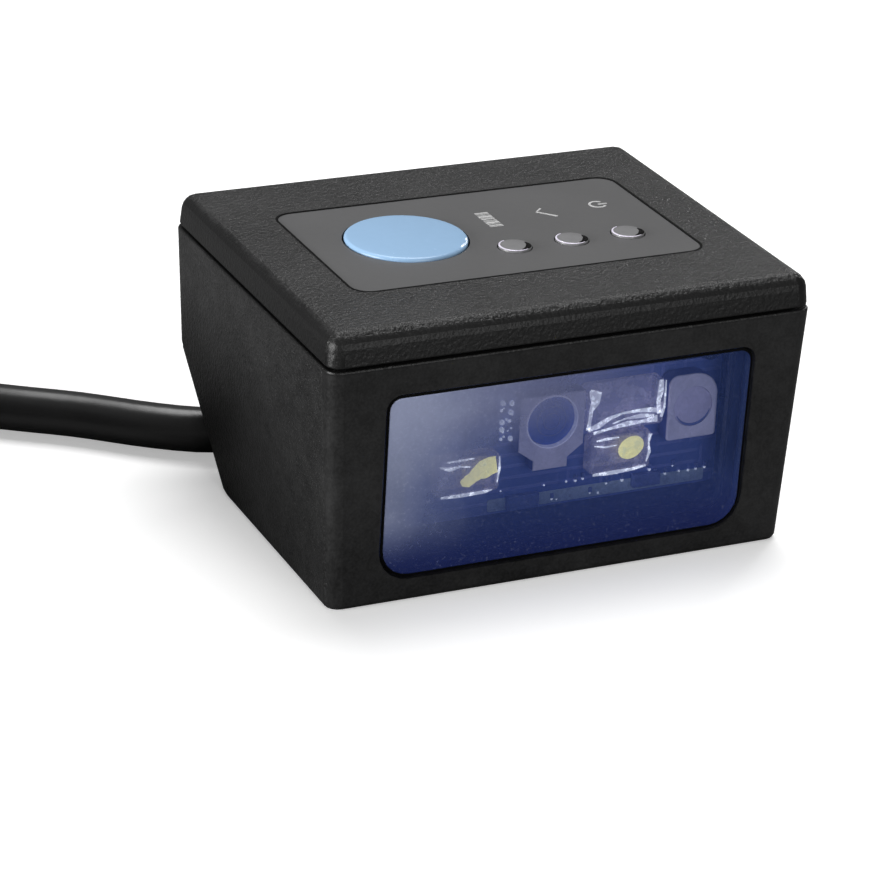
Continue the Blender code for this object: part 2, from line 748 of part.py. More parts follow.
def make_trigger_button(finish):
    """A crowned cap with a flange that keeps it under the lid and a stem that presses the switch."""
    top = LABEL_TOP + BUTTON_RISE - BUTTON_CROWN
    flange_top = LID_UNDERSIDE - FIT
    flange_low = flange_top - BUTTON_FLANGE_THICKNESS
    ceiling = top - BUTTON_WALL
    hollow = BUTTON_RADIUS - BUTTON_WALL
    profile = [
        (0, flange_low),
        (BUTTON_STEM_RADIUS, flange_low),
        (BUTTON_STEM_RADIUS, ceiling),
        (hollow, ceiling),
        (hollow, flange_low),
        (BUTTON_RADIUS + BUTTON_FLANGE, flange_low),
        (BUTTON_RADIUS + BUTTON_FLANGE, flange_top),
        (BUTTON_RADIUS, flange_top),
        *crowned_top(BUTTON_RADIUS, top, BUTTON_RISE * 0.6, BUTTON_CROWN),
    ]
    spot = (BUTTON_X, BUTTON_Y, 0)
    return new_object("trigger_button", turned(profile, 40), finish, location=spot)


def make_switch(body_finish, plunger_finish):
    """The tactile switch below the key: its case stays on the board, and its plunger moves with the key."""
    low = KEYPAD_TOP + FIT
    high = low + SWITCH_HEIGHT
    stem_foot = LID_UNDERSIDE - FIT - BUTTON_FLANGE_THICKNESS
    plunger_top = stem_foot - FIT
    plunger_foot = low + BUTTON_TRAVEL + FIT
    spot = (BUTTON_X, BUTTON_Y, 0)
    body = block(SWITCH_SIDE, SWITCH_SIDE, low, high)
    case = new_object("trigger_switch", body, body_finish, location=spot)
    well = disc(PLUNGER_RADIUS + RUNNING_FIT, low + FIT / 2, high + SWITCH_HEIGHT, 20)
    cut(case, new_object("plunger_well", well, None, location=spot))
    plunger = disc(PLUNGER_RADIUS, plunger_foot, plunger_top, 20)
    new_object("switch_plunger", plunger, plunger_finish, location=spot)


def make_indicator_lenses(finish):
    tail = LID_UNDERSIDE - LENS_TAIL
    flange_top = LID_UNDERSIDE - FIT
    top = LABEL_TOP + LENS_RISE
    for i, place in enumerate(("left", "middle", "right")):
        profile = [
            (0, tail),
            (LENS_RADIUS, tail),
            (LENS_RADIUS, flange_top - LENS_FLANGE_THICKNESS),
            (LENS_RADIUS + LENS_FLANGE, flange_top - LENS_FLANGE_THICKNESS),
            (LENS_RADIUS + LENS_FLANGE, flange_top),
            (LENS_RADIUS, flange_top),
            *crowned_top(LENS_RADIUS, top - LENS_RISE * 0.25, LENS_RISE * 0.5, LENS_RISE * 0.25),
        ]
        spot = (LENS_X + i * LENS_PITCH, LENS_Y, 0)
        new_object(f"indicator_lens_{place}", turned(profile, 28), finish, location=spot)


def keypad_screw_places():
    x = KEYPAD_WIDTH / 2 - SMALL_BOSS_RADIUS
    y = KEYPAD_LENGTH / 2 - SMALL_BOSS_RADIUS
    return [(KEYPAD_X - x, -y), (KEYPAD_X + x, y)]


def make_keypad_board(board_finish, led_finish, screw_finish):
    low = KEYPAD_TOP - KEYPAD_THICKNESS
    outline = rounded_outline(KEYPAD_WIDTH, KEYPAD_LENGTH, (BOARD_CORNER,) * 4, 3, (KEYPAD_X, 0.0))
    board = new_object("keypad_board", prism(outline, low, KEYPAD_TOP), board_finish)
    for i, (x, y) in enumerate(keypad_screw_places()):
        hole = (SMALL_SCREW_RADIUS + FIT, x, y, low - FLOOR, KEYPAD_TOP + FLOOR)
        cut(board, post(f"keypad_hole_{i}", *hole, steps=12))
        side = ("left", "right")[i]
        screw(
            f"keypad_screw_{side}",
            SMALL_SCREW_RADIUS,
            SMALL_HEAD_RADIUS,
            SMALL_SCREW_LENGTH,
            SMALL_HEAD_HEIGHT,
            screw_finish,
            (x, y, low - FIT),
        )
    for i, place in enumerate(("left", "middle", "right")):
        low = KEYPAD_TOP + FIT
        chip = block(LED_CHIP, LED_CHIP / 2, low, low + LED_CHIP_HEIGHT)
        spot = (LENS_X + i * LENS_PITCH, LENS_Y, 0)
        new_object(f"indicator_led_{place}", chip, led_finish, location=spot)


def facing_front(name, bm, finish, x, y, z):
    """Stands a shape drawn in XY upright, so that its Z looks out of the window."""
    return new_object(name, bm, finish, location=(x, y, z), rotation=(math.pi / 2, 0, 0))


def make_engine_board(finish):
    width = ENGINE_BOARD_RIGHT - ENGINE_BOARD_LEFT
    height = ENGINE_BOARD_TOP - ENGINE_BOARD_FOOT
    middle_x = (ENGINE_BOARD_RIGHT + ENGINE_BOARD_LEFT) / 2
    middle_z = (ENGINE_BOARD_TOP + ENGINE_BOARD_FOOT) / 2
    sheet = prism(rounded_outline(width, height, (BOARD_CORNER,) * 4, 3), 0, BOARD_THICKNESS)
    board = facing_front("engine_board", sheet, finish, middle_x, ENGINE_BACK_Y, middle_z)
    barrel = disc(CAMERA_BORE * 0.7, -BOARD_THICKNESS, 2 * BOARD_THICKNESS, 20)
    cut(board, facing_front("sensor_hole", barrel, None, CAMERA_X, ENGINE_BACK_Y, CAMERA_Z))
    for i, (x, z) in enumerate(engine_screw_places()):
        hole = disc(SMALL_SCREW_RADIUS + FIT, -BOARD_THICKNESS, 2 * BOARD_THICKNESS, 12)
        cut(board, facing_front(f"engine_hole_{i}", hole, None, x, ENGINE_BACK_Y, z))
    return board


def engine_screw_places():
    inset = SMALL_BOSS_RADIUS
    x_left, x_right = ENGINE_BOARD_LEFT + inset, ENGINE_BOARD_RIGHT - inset
    return [(x_left, ENGINE_BOARD_TOP - inset), (x_right, ENGINE_BOARD_TOP - inset)]


def make_engine_chassis(finish, screw_finish):
    """The moulded frame behind the engine board, with two feet that are screwed to the floor."""
    low = FLOOR + 2 * FIT
    back = ENGINE_BACK_Y + FIT + CHASSIS_THICKNESS
    width = ENGINE_BOARD_RIGHT - ENGINE_BOARD_LEFT
    height = ENGINE_BOARD_TOP - low
    middle_x = (ENGINE_BOARD_RIGHT + ENGINE_BOARD_LEFT) / 2
    middle_z = (ENGINE_BOARD_TOP + low) / 2
    plate = prism(rounded_outline(width, height, (BOARD_CORNER,) * 4, 3), 0, CHASSIS_THICKNESS)
    chassis = facing_front("engine_chassis", plate, finish, middle_x, back, middle_z)
    rails = 2 * CHASSIS_RAIL
    inside = rounded_outline(width - rails, height - rails, (BOARD_CORNER,) * 4, 3)
    opening = prism(inside, -CHASSIS_THICKNESS, 2 * CHASSIS_THICKNESS)
    foot_top = low + CHASSIS_FOOT_THICKNESS
    for i, (x, y) in enumerate(chassis_screw_places()):
        foot = block(CHASSIS_FOOT, CHASSIS_FOOT + CHASSIS_THICKNESS, low, foot_top)
        place = (x, y - CHASSIS_THICKNESS / 2, 0)
        join(chassis, new_object(f"chassis_foot_{i}", foot, None, location=place))
        hole = (SMALL_SCREW_RADIUS + FIT, x, y, 0, 2 * foot_top)
        cut(chassis, post(f"chassis_hole_{i}", *hole, steps=12))
    cut(chassis, facing_front("chassis_opening", opening, None, middle_x, back, middle_z))
    for i, (x, z) in enumerate(engine_screw_places()):
        hole = disc(SMALL_SCREW_RADIUS + FIT / 2, -CHASSIS_THICKNESS, 2 * CHASSIS_THICKNESS, 12)
        cut(chassis, facing_front(f"chassis_pilot_{i}", hole, None, x, back, z))
        side = ("left", "right")[i]
        screw(
            f"engine_screw_{side}",
            SMALL_SCREW_RADIUS,
            SMALL_HEAD_RADIUS,
            SMALL_SCREW_LENGTH,
            SMALL_HEAD_HEIGHT,
            screw_finish,
            (x, ENGINE_BOARD_Y - FIT, z),
            (-math.pi / 2, 0, 0),
        )
    for i, (x, y) in enumerate(chassis_screw_places()):
        side = ("left", "right")[i]
        top = foot_top + FIT
        length = top - PILOT_FLOOR - 2 * FIT
        screw(
            f"chassis_screw_{side}",
            SMALL_SCREW_RADIUS,
            SMALL_HEAD_RADIUS,
            length,
            SMALL_HEAD_HEIGHT,
            screw_finish,
            (x, y, top),
            (math.pi, 0, 0),
        )


def lens_plate_outline():
    """The lens holder's face: a rectangle whose lower corners are cut, with a narrower tab below."""
    right = [
        (LENS_PLATE_TAB_HALF, -LENS_PLATE_FOOT),
        (LENS_PLATE_TAB_HALF, -LENS_PLATE_TAB),
        (LENS_PLATE_HALF, -LENS_PLATE_SHOULDER),
        (LENS_PLATE_HALF, LENS_PLATE_TOP),
    ]
    return right + [(-x, y) for x, y in reversed(right)]


def make_camera(holder_finish, glass_finish, sensor_finish):
    """The lens holder with its stepped bore, the lens in it, and the image sensor behind the board."""
    back = ENGINE_BOARD_Y - FIT
    ledge_depth = LENS_PLATE_DEPTH * 0.25
    bm = prism(lens_plate_outline(), 0, LENS_PLATE_DEPTH, LENS_EDGE)
    holder = facing_front("camera_lens_holder", bm, holder_finish, CAMERA_X, back, CAMERA_Z)
    bore = disc(CAMERA_BORE, ledge_depth, 2 * LENS_PLATE_DEPTH, 32)
    cut(holder, facing_front("camera_bore", bore, None, CAMERA_X, back, CAMERA_Z))
    pupil = disc(CAMERA_BORE * 0.55, -LENS_PLATE_DEPTH, 2 * LENS_PLATE_DEPTH, 24)
    cut(holder, facing_front("camera_pupil", pupil, None, CAMERA_X, back, CAMERA_Z))

    radius = CAMERA_BORE - FIT
    low = ledge_depth + FIT
    rim = low + CAMERA_LENS_THICKNESS * 0.35
    face = crowned_top(radius, rim, LENS_EDGE, CAMERA_LENS_THICKNESS * 0.3)
    lens = turned([(0, low), (radius, low), *face], 32)
    facing_front("camera_lens", lens, glass_finish, CAMERA_X, back, CAMERA_Z)

    sensor = block(SENSOR_SIDE, SENSOR_SIDE, 0, SENSOR_THICKNESS)
    sensor_y = ENGINE_BACK_Y + FIT + SENSOR_THICKNESS
    facing_front("image_sensor", sensor, sensor_finish, CAMERA_X, sensor_y, CAMERA_Z)


def make_lights(chip_finish, lens_finish):
    """The two illumination LEDs with the clear caps over them."""
    back = ENGINE_BOARD_Y - FIT
    outline = rounded_outline(LIGHT_WIDTH, LIGHT_HEIGHT, (CLEAR_CORNER,) * 4, 2)
    pocket_size = (LIGHT_WIDTH - 2 * LIGHT_WALL, LIGHT_HEIGHT - 2 * LIGHT_WALL)
    pocket_outline = rounded_outline(*pocket_size, (CLEAR_CORNER,) * 4, 2)
    for place, x in (("left", LEFT_LIGHT_X), ("right", RIGHT_LIGHT_X)):
        chip = block(LIGHT_CHIP_SIDE, LIGHT_CHIP_SIDE, 0, LIGHT_CHIP_HEIGHT, LENS_EDGE)
        facing_front(f"{place}_led", chip, chip_finish, x + LIGHT_WIDTH * 0.16, back, LIGHT_Z)
        solid = prism(outline, 0, LIGHT_DEPTH, LIGHT_EDGE)
        cap = facing_front(f"{place}_led_lens", solid, lens_finish, x, back, LIGHT_Z)
        pocket = prism(pocket_outline, -LIGHT_DEPTH, LIGHT_CHIP_HEIGHT + FIT)
        cut(cap, facing_front(f"{place}_pocket", pocket, None, x, back, LIGHT_Z))


def make_light_guide(finish):
    """The clear block above the right light, hollowed in front by a curved dish."""
    back = ENGINE_BOARD_Y - FIT
    outline = rounded_outline(GUIDE_WIDTH, GUIDE_HEIGHT, (CLEAR_CORNER,) * 4, 2)
    solid = prism(outline, 0, GUIDE_DEPTH, GUIDE_EDGE)
    guide = facing_front("light_guide", solid, finish, GUIDE_X, back, GUIDE_Z)
    radii = (GUIDE_DISH_RADIUS, CLEAR_CORNER, CLEAR_CORNER, GUIDE_DISH_RADIUS)
    dish_centre = (0, GUIDE_WALL * 1.4)
    dish_outline = rounded_outline(GUIDE_WIDTH - 2 * GUIDE_WALL, GUIDE_HEIGHT, radii, 5, dish_centre)
    dish = prism(dish_outline, GUIDE_DEPTH * 0.35, 2 * GUIDE_DEPTH)
    cut(guide, facing_front("guide_dish", dish, None, GUIDE_X, back, GUIDE_Z))


def make_aimer(housing_finish, lens_finish):
    """The arch-topped holder right of the light guide, with the round lens of the aiming light."""
    back = ENGINE_BOARD_Y - FIT
    radii = (CLEAR_CORNER, AIMER_WIDTH * 0.46, AIMER_CORNER, CLEAR_CORNER)
    solid = prism(rounded_outline(AIMER_WIDTH, AIMER_HEIGHT, radii, 8), 0, AIMER_DEPTH, GUIDE_EDGE)
    holder = facing_front("aimer_housing", solid, housing_finish, AIMER_X, back, AIMER_Z)
    bore = disc(AIMER_BORE, AIMER_DEPTH * 0.45, 2 * AIMER_DEPTH, 28)
    cut(holder, facing_front("aimer_bore", bore, None, AIMER_X, back, AIMER_Z))
    radius = AIMER_BORE - FIT
    low = AIMER_DEPTH * 0.45 + FIT
    rim = low + AIMER_DEPTH * 0.25
    face = crowned_top(radius, rim, LENS_EDGE, AIMER_DEPTH * 0.15)
    lens = turned([(0, low), (radius, low), *face], 28)
    facing_front("aimer_lens", lens, lens_finish, AIMER_X, back, AIMER_Z)


def make_main_board(board_finish, chip_finish, part_finish, screw_finish):
    depth = MAIN_BOARD_BACK - MAIN_BOARD_FRONT
    middle_y = (MAIN_BOARD_BACK + MAIN_BOARD_FRONT) / 2
    outline = rounded_outline(MAIN_BOARD_WIDTH, depth, (BOARD_CORNER,) * 4, 3, (0, middle_y))
    board = new_object("main_board", prism(outline, MAIN_BOARD_HEIGHT, MAIN_TOP), board_finish)
    for i, (x, y) in enumerate(main_screw_places()):
        cut(board, post(f"main_hole_{i}", SMALL_SCREW_RADIUS + FIT, x, y, 0, 2 * MAIN_TOP, steps=12))
        corner = ("front_left", "front_right", "back_left", "back_right")[i]
        screw(
            f"board_screw_{corner}",
            SMALL_SCREW_RADIUS,
            SMALL_HEAD_RADIUS,
            SMALL_SCREW_LENGTH,
            SMALL_HEAD_HEIGHT,
            screw_finish,
            (x, y, MAIN_TOP + FIT),
            (math.pi, 0, 0),
        )
    low = MAIN_TOP + FIT
    chip = block(CHIP_SIDE, CHIP_SIDE, low, low + CHIP_HEIGHT, LENS_EDGE)
    new_object("main_chip", chip, chip_finish, location=(-MAIN_BOARD_WIDTH / 5, middle_y, 0))
    sound_hole = BEEPER_RADIUS * 0.2
    beeper = turned(
        [
            (0, low),
            (BEEPER_RADIUS, low),
            (BEEPER_RADIUS, low + BEEPER_HEIGHT),
            (sound_hole, low + BEEPER_HEIGHT),
            (sound_hole, low + BEEPER_HEIGHT * 0.6),
            (0, low + BEEPER_HEIGHT * 0.6),
        ],
        24,
    )
    new_object("beeper", beeper, part_finish, location=(BEEPER_X, BEEPER_Y, 0))


def make_cord_connection(part_finish, plug_finish, lead_finish, slope_matrix):
    """The header on the main board, the connector on it, and the lead from there to the outlet."""
    x, y = HEADER_X, HEADER_Y
    low = MAIN_TOP + FIT
    header_top = low + HEADER_HEIGHT
    header = block(HEADER_WIDTH, HEADER_DEPTH, low, header_top)
    new_object("cable_header", header, part_finish, location=(x, y, 0))
    plug_low = header_top + FIT
    plug_top = plug_low + PLUG_IN_HEIGHT
    connector = block(HEADER_WIDTH * 0.9, HEADER_DEPTH * 0.8, plug_low, plug_top, GUIDE_EDGE)
    new_object("cable_connector", connector, plug_finish, location=(x, y, 0))
    start = slope_matrix @ Vector((OUTLET_X, -OUTLET_ALONG, -WALL - FIT))
    inward = (slope_matrix.to_3x3() @ Vector((0, 0, -1))).normalized()
    radius = 4.4 * INNER_LEAD_RADIUS
    crown = Vector((x, y + radius, plug_top + FIT + radius * 1.15))
    route = [
        start,
        start + inward * radius,
        crown + Vector((0, radius * 0.75, radius * 0.60)),
        crown + Vector((0, 0, radius)),
        crown + Vector((0, -radius * 0.75, radius * 0.60)),
        crown + Vector((0, -radius, -radius * 0.3)),
        Vector((x, y, plug_top + FIT)),
    ]
    tube("inner_lead", smooth_curve(route, 0.0012), INNER_LEAD_RADIUS, lead_finish)


def make_flexes(finish):
    """The two flat cables: engine board to main board, and keypad board to main board."""
    thickness = FLEX_THICKNESS
    board_y = ENGINE_BACK_Y + FIT + thickness
    edge_y = MAIN_BOARD_FRONT + 0.0022
    rest = MAIN_TOP + FIT + thickness / 2
    start_z = (ENGINE_BOARD_FOOT + ENGINE_BOARD_TOP) / 2 - 0.0020
    path = [
        (board_y, start_z),
        (board_y, rest + 0.0030),
        (board_y + 0.0006, rest + 0.0014),
        (board_y + 0.0020, rest + 0.0006),
        (board_y + 0.0040, rest + 0.0002),
        (MAIN_BOARD_FRONT, rest),
        (edge_y, rest),
    ]
    middle_x = LEFT_LIGHT_X / 2
    new_object("engine_flex", ribbon(path, ENGINE_FLEX_WIDTH, thickness, middle_x), finish)
    keypad_y = KEYPAD_LENGTH / 2 - 0.0010
    keypad_low = KEYPAD_TOP - KEYPAD_THICKNESS - FIT
    inner_x = -MAIN_BOARD_WIDTH / 2 + 0.0060
    path = [
        (keypad_y, keypad_low - thickness / 2),
        (keypad_y + 0.0022, keypad_low - thickness / 2 - 0.0001),
        (keypad_y + 0.0036, keypad_low - 0.0011),
        (keypad_y + 0.0040, keypad_low - 0.0030),
        (keypad_y + 0.0040, rest + 0.0030),
        (keypad_y + 0.0034, rest + 0.0010),
        (keypad_y + 0.0020, rest),
        (keypad_y, rest),
    ]
    new_object("keypad_flex", ribbon(path, KEYPAD_FLEX_WIDTH, thickness, inner_x), finish)


def make_housing_screws(finish):
    names = ("front_left", "front_right", "back_left", "back_right")
    for name, (x, y) in zip(names, housing_screw_places()):
        screw(
            f"housing_screw_{name}",
            SCREW_RADIUS,
            SCREW_HEAD_RADIUS,
            SCREW_LENGTH,
            SCREW_HEAD_HEIGHT,
            finish,
            (x, y, SCREW_HEAD_HEIGHT),
        )


def make_mount_inserts(finish):
    low, high = INSERT_RECESS, INSERT_RECESS + INSERT_LENGTH
    groove = INSERT_RADIUS * 0.88
    profile = [
        (INSERT_BORE, low),
        (INSERT_RADIUS, low),
        (INSERT_RADIUS, low + INSERT_LENGTH * 0.42),
        (groove, low + INSERT_LENGTH * 0.45),
        (groove, low + INSERT_LENGTH * 0.55),
        (INSERT_RADIUS, low + INSERT_LENGTH * 0.58),
        (INSERT_RADIUS, high),
        (INSERT_BORE, high),
    ]
    for place, side in (("left", -1), ("right", 1)):
        spot = (side * INSERT_X, INSERT_Y, 0)
        new_object(f"mount_insert_{place}", turned(profile, 20), finish, location=spot)


def boot_frame(slope_matrix):
    """Where the strain relief's two axes cross, above the outlet."""
    return slope_matrix @ Vector((OUTLET_X, -OUTLET_ALONG, BOOT_RISE))


def make_strain_relief(finish, slope, slope_matrix):
    """A moulded elbow: its neck sits in the outlet, its flange on the slope, its grooved tail along -X."""
    flange_high = FIT + BOOT_FLANGE_THICKNESS
    profile = [
        (0, -WALL),
        (OUTLET_RADIUS, -WALL),
        (OUTLET_RADIUS, FIT),
        (BOOT_FLANGE_RADIUS, FIT),
        (BOOT_FLANGE_RADIUS, flange_high),
        (BOOT_HEAD_RADIUS, flange_high),
    ]
    dome_steps = 6
    for step in range(dome_steps + 1):
        angle = math.pi / 2 * step / dome_steps
        outward, upward = BOOT_HEAD_RADIUS * math.cos(angle), BOOT_HEAD_RADIUS * math.sin(angle)
        profile.append((outward, BOOT_RISE + upward))
    profile[-1] = (0, BOOT_RISE + BOOT_HEAD_RADIUS)
    spot = (OUTLET_X, -OUTLET_ALONG, 0)
    boot = new_object("strain_relief", turned(profile, 24), finish, slope, spot)

    bare = BOOT_HEAD_RADIUS * 0.9
    pitch = (BOOT_LENGTH - bare) / (BOOT_GROOVES + 0.3)
    tail = [(0, 0), (BOOT_RADIUS, 0)]
    for groove in range(BOOT_GROOVES):
        at = bare + pitch * (groove + 0.2)
        radius = BOOT_RADIUS + (BOOT_TIP_RADIUS - BOOT_RADIUS) * at / BOOT_LENGTH
        tail.append((radius, at))
        tail.append((radius - BOOT_GROOVE_DEPTH, at))
        tail.append((radius - BOOT_GROOVE_DEPTH, at + pitch * 0.45))
        tail.append((radius, at + pitch * 0.45))
    tail += [(BOOT_TIP_RADIUS, BOOT_LENGTH), (0, BOOT_LENGTH)]
    crossing = boot_frame(slope_matrix)
    join(boot, new_object("boot_tail", turned(tail, 20), None, None, crossing, (0, -math.pi / 2, 0)))


def tail_end():
    """The end of the cord, a short straight piece past its route, where the plug begins."""
    return Vector(TAIL_ROUTE[-1]) + Vector((0, -CORD_RADIUS / 2, 0))


def make_cord(cord_finish, tie_finish, slope_matrix):
    """The free cord: a lead from the boot, the coil's outer shape with its tie, and a tail to the plug."""
    direction = Vector((-1, 0, 0))
    start = boot_frame(slope_matrix) + direction * (BOOT_LENGTH + FIT)
    spacing = 4 * CORD_RADIUS
    free = start + direction * CORD_RADIUS / 2
    lead = smooth_curve([free, free + direction * CORD_RADIUS, *LEAD_ROUTE], spacing)
    tube("cord_lead", [start, *lead], CORD_RADIUS, cord_finish, 3)
    tail = [*smooth_curve(TAIL_ROUTE, spacing), tail_end()]
    tube("cord_tail", tail, CORD_RADIUS, cord_finish, 3)
    inner, outer = COIL_RADIUS - COIL_HALF, COIL_RADIUS + COIL_HALF
    low, high = COIL_LIFT, COIL_LIFT + 2 * COIL_ROWS * CORD_RADIUS
    edge = CORD_RADIUS * 0.8
    profile = [
        (inner, low + edge),
        (inner + edge, low),
        (outer - edge, low),
        (outer, low + edge),
        (outer, high - edge),
        (outer - edge, high),
        (inner + edge, high),
        (inner, high - edge),
    ]
    spot = (*COIL_CENTRE, 0)
    new_object("cord_coil", turned(profile, 40), cord_finish, location=spot)

    width, height = 2 * COIL_HALF + 2 * FIT, high - low + 2 * FIT
    walls = 2 * TIE_THICKNESS
    inner_outline = rounded_outline(width, height, (CORD_RADIUS,) * 4, 4)
    outer_outline = rounded_outline(width + walls, height + walls, (CORD_RADIUS,) * 4, 4)
    upright = (math.pi / 2, 0, 0)
    around = new_frame("tie_frame", (*COIL_CENTRE, 0), (0, 0, math.radians(-90)))
    place = (COIL_RADIUS, 0, (low + high) / 2)
    band = prism(outer_outline, -TIE_WIDTH / 2, TIE_WIDTH / 2)
    tie = new_object("coil_tie", band, tie_finish, around, place, upright)
    hole = prism(inner_outline, -TIE_WIDTH, TIE_WIDTH)
    cut(tie, new_object("tie_hole", hole, None, around, place, upright))


def make_plug(body_finish, shell_finish):
    """The plug on the cord's end: a moulded grip with a neck, and a metal shell with its tongue."""
    end = new_frame("plug_frame", tail_end(), (math.pi / 2, 0, 0))
    body_back = FIT + PLUG_NECK
    shell_back = body_back + PLUG_LENGTH + FIT
    outline = rounded_outline(PLUG_WIDTH, PLUG_HEIGHT, (PLUG_HEIGHT * 0.3,) * 4, 4)
    grip = prism(outline, body_back, body_back + PLUG_LENGTH, PLUG_EDGE)
    body = new_object("plug_body", grip, body_finish, end)
    neck_end = body_back + FIT
    neck = [(0, FIT), (CORD_RADIUS * 1.25, FIT), (CORD_RADIUS * 1.5, neck_end), (0, neck_end)]
    join(body, new_object("plug_neck", turned(neck, 16), None, end))

    spot = (0, 0, shell_back)
    outside = rounded_outline(SHELL_WIDTH, SHELL_HEIGHT, (SHELL_CORNER,) * 4, 2)
    shell = new_object("plug_shell", prism(outside, 0, SHELL_LENGTH), shell_finish, end, spot)
    inner_size = (SHELL_WIDTH - 2 * SHELL_WALL, SHELL_HEIGHT - 2 * SHELL_WALL)
    hollow_outline = rounded_outline(*inner_size, (SHELL_CORNER / 2,) * 4, 2)
    hollow = prism(hollow_outline, SHELL_LENGTH * 0.25, 2 * SHELL_LENGTH)
    cut(shell, new_object("shell_hollow", hollow, None, end, spot))
    tongue_size = (SHELL_WIDTH - 4 * SHELL_WALL, TONGUE_HEIGHT)
    tongue_centre = (0, SHELL_HEIGHT * 0.14)
    tongue_outline = rounded_outline(*tongue_size, (SHELL_CORNER / 4,) * 4, 2, tongue_centre)
    tongue = prism(tongue_outline, SHELL_LENGTH * 0.2, SHELL_LENGTH * 0.92)
    join(shell, new_object("shell_tongue", tongue, None, end, spot))


def main():
    clear_scene()
    black = material("black_plastic", (0.030, 0.030, 0.031), 0.55)
    dark_rubber = material("dark_rubber", (0.020, 0.020, 0.021), 0.75)
    label_grey = material("label_grey", (0.130, 0.130, 0.135), 0.45)
    key_blue = material("key_blue", (0.330, 0.530, 0.790), 0.30)
    clear = material("clear_plastic", (0.800, 0.800, 0.800), 0.05)
    tinted = material("tinted_blue", (0.020, 0.040, 0.200), 0.05)
    board_green = material("board_green", (0.030, 0.110, 0.090), 0.40)
    holder_violet = material("holder_grey_violet", (0.200, 0.170, 0.230), 0.45)
    white = material("white_ceramic", (0.750, 0.720, 0.550), 0.50)
    chip_black = material("chip_black", (0.015, 0.015, 0.016), 0.40)
    ivory = material("ivory_nylon", (0.650, 0.620, 0.540), 0.50)
    amber = material("flex_amber", (0.450, 0.210, 0.040), 0.35)
    steel = material("steel", (0.550, 0.550, 0.560), 0.30, 1.0)
    brass = material("brass", (0.700, 0.480, 0.180), 0.35, 1.0)
    cord_black = material("cord_black", (0.018, 0.018, 0.019), 0.50)

    front = new_frame("front_wall", (0, FRONT_FOOT, 0), (math.pi / 2 + LEAN, 0, 0))
    slope_turn = (SLOPE_ANGLE + math.pi, 0, 0)
    slope = new_frame("sloping_wall", (0, SLOPE_FOOT, 0), slope_turn)
    slope_matrix = Matrix.Translation((0, SLOPE_FOOT, 0)) @ Matrix.Rotation(slope_turn[0], 4, "X")

    make_base_housing(black, front, slope)
    make_top_cover(black)
    make_cover_seal(dark_rubber)
    make_keypad_label(label_grey)
    make_trigger_button(key_blue)
    make_switch(chip_black, ivory)
    make_indicator_lenses(clear)
    make_keypad_board(board_green, white, steel)
    make_window(tinted, front)
    make_window_gasket(dark_rubber, front)
    make_engine_board(board_green)
    make_engine_chassis(chip_black, steel)
    make_camera(holder_violet, tinted, chip_black)
    make_lights(white, clear)
    make_light_guide(clear)
    make_aimer(holder_violet, holder_violet)
    make_main_board(board_green, chip_black, chip_black, steel)
    make_cord_connection(ivory, ivory, cord_black, slope_matrix)
    make_flexes(amber)
    make_housing_screws(steel)
    make_mount_inserts(brass)
    make_strain_relief(dark_rubber, slope, slope_matrix)
    make_cord(cord_black, dark_rubber, slope_matrix)
    make_plug(dark_rubber, steel)


main()
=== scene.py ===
# %% [markdown]
# A fixed barcode reader is a palm-sized black box that looks out of one side.
# The packed frame gives every solid of it. This lesson gives those solids their
# finish, lays the cord, fills in the small things on the scan engine, and sets
# the camera and the studio where the photographer had them.

# %% The frame and the tools
import math
import random

import bmesh
import bpy
from mathutils import Matrix, Vector


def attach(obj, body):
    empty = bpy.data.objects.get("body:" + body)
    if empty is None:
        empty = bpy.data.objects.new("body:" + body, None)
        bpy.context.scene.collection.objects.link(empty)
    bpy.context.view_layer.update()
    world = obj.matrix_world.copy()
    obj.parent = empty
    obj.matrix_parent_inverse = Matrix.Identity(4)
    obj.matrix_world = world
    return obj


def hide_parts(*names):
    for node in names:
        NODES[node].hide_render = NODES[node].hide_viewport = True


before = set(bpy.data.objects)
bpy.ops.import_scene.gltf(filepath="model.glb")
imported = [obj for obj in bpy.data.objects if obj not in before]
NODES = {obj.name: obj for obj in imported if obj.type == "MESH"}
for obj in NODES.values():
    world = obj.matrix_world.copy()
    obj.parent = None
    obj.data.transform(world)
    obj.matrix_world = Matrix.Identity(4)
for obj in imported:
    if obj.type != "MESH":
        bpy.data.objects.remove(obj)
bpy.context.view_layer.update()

print("CAD nodes:", len(NODES))

# %% [markdown]
# The photograph was taken with a long lens from the front left, a little above
# the lid. The camera was worked out from the corners of the housing, so the
# frame of the picture is the photograph's frame of 882 pixels square.

# %% Camera
CAMERA_PLACE = Vector((-0.13466, -0.28036, 0.14503))
AZIMUTH, ELEVATION, ROLL = (math.radians(a) for a in (-24.966, 24.130, 2.424))
flat = math.cos(ELEVATION)
back = Vector((math.sin(AZIMUTH) * flat, -math.cos(AZIMUTH) * flat, math.sin(ELEVATION)))
level = Vector((0, 0, 1)).cross(back).normalized()
upright = back.cross(level)
right = math.cos(ROLL) * level + math.sin(ROLL) * upright
top = -math.sin(ROLL) * level + math.cos(ROLL) * upright

camera_data = bpy.data.cameras.new("camera")
camera_data.lens = 139.035
camera_data.sensor_width = 36.0
camera_data.clip_start = 0.01
camera = bpy.data.objects.new("camera", camera_data)
camera.matrix_world = Matrix.Translation(CAMERA_PLACE) @ Matrix((right, top, back)).transposed().to_4x4()
bpy.context.scene.collection.objects.link(camera)
bpy.context.scene.camera = camera
bpy.context.scene.view_settings.view_transform = "Standard"
print("camera looks along", [round(-x, 3) for x in back])

# %% [markdown]
# Shader maths reads better as arithmetic than as a list of links. A Wire holds
# one output of a node. Adding or multiplying two wires makes the Math node that
# does it, and node() makes any other node from its type, settings and inputs.

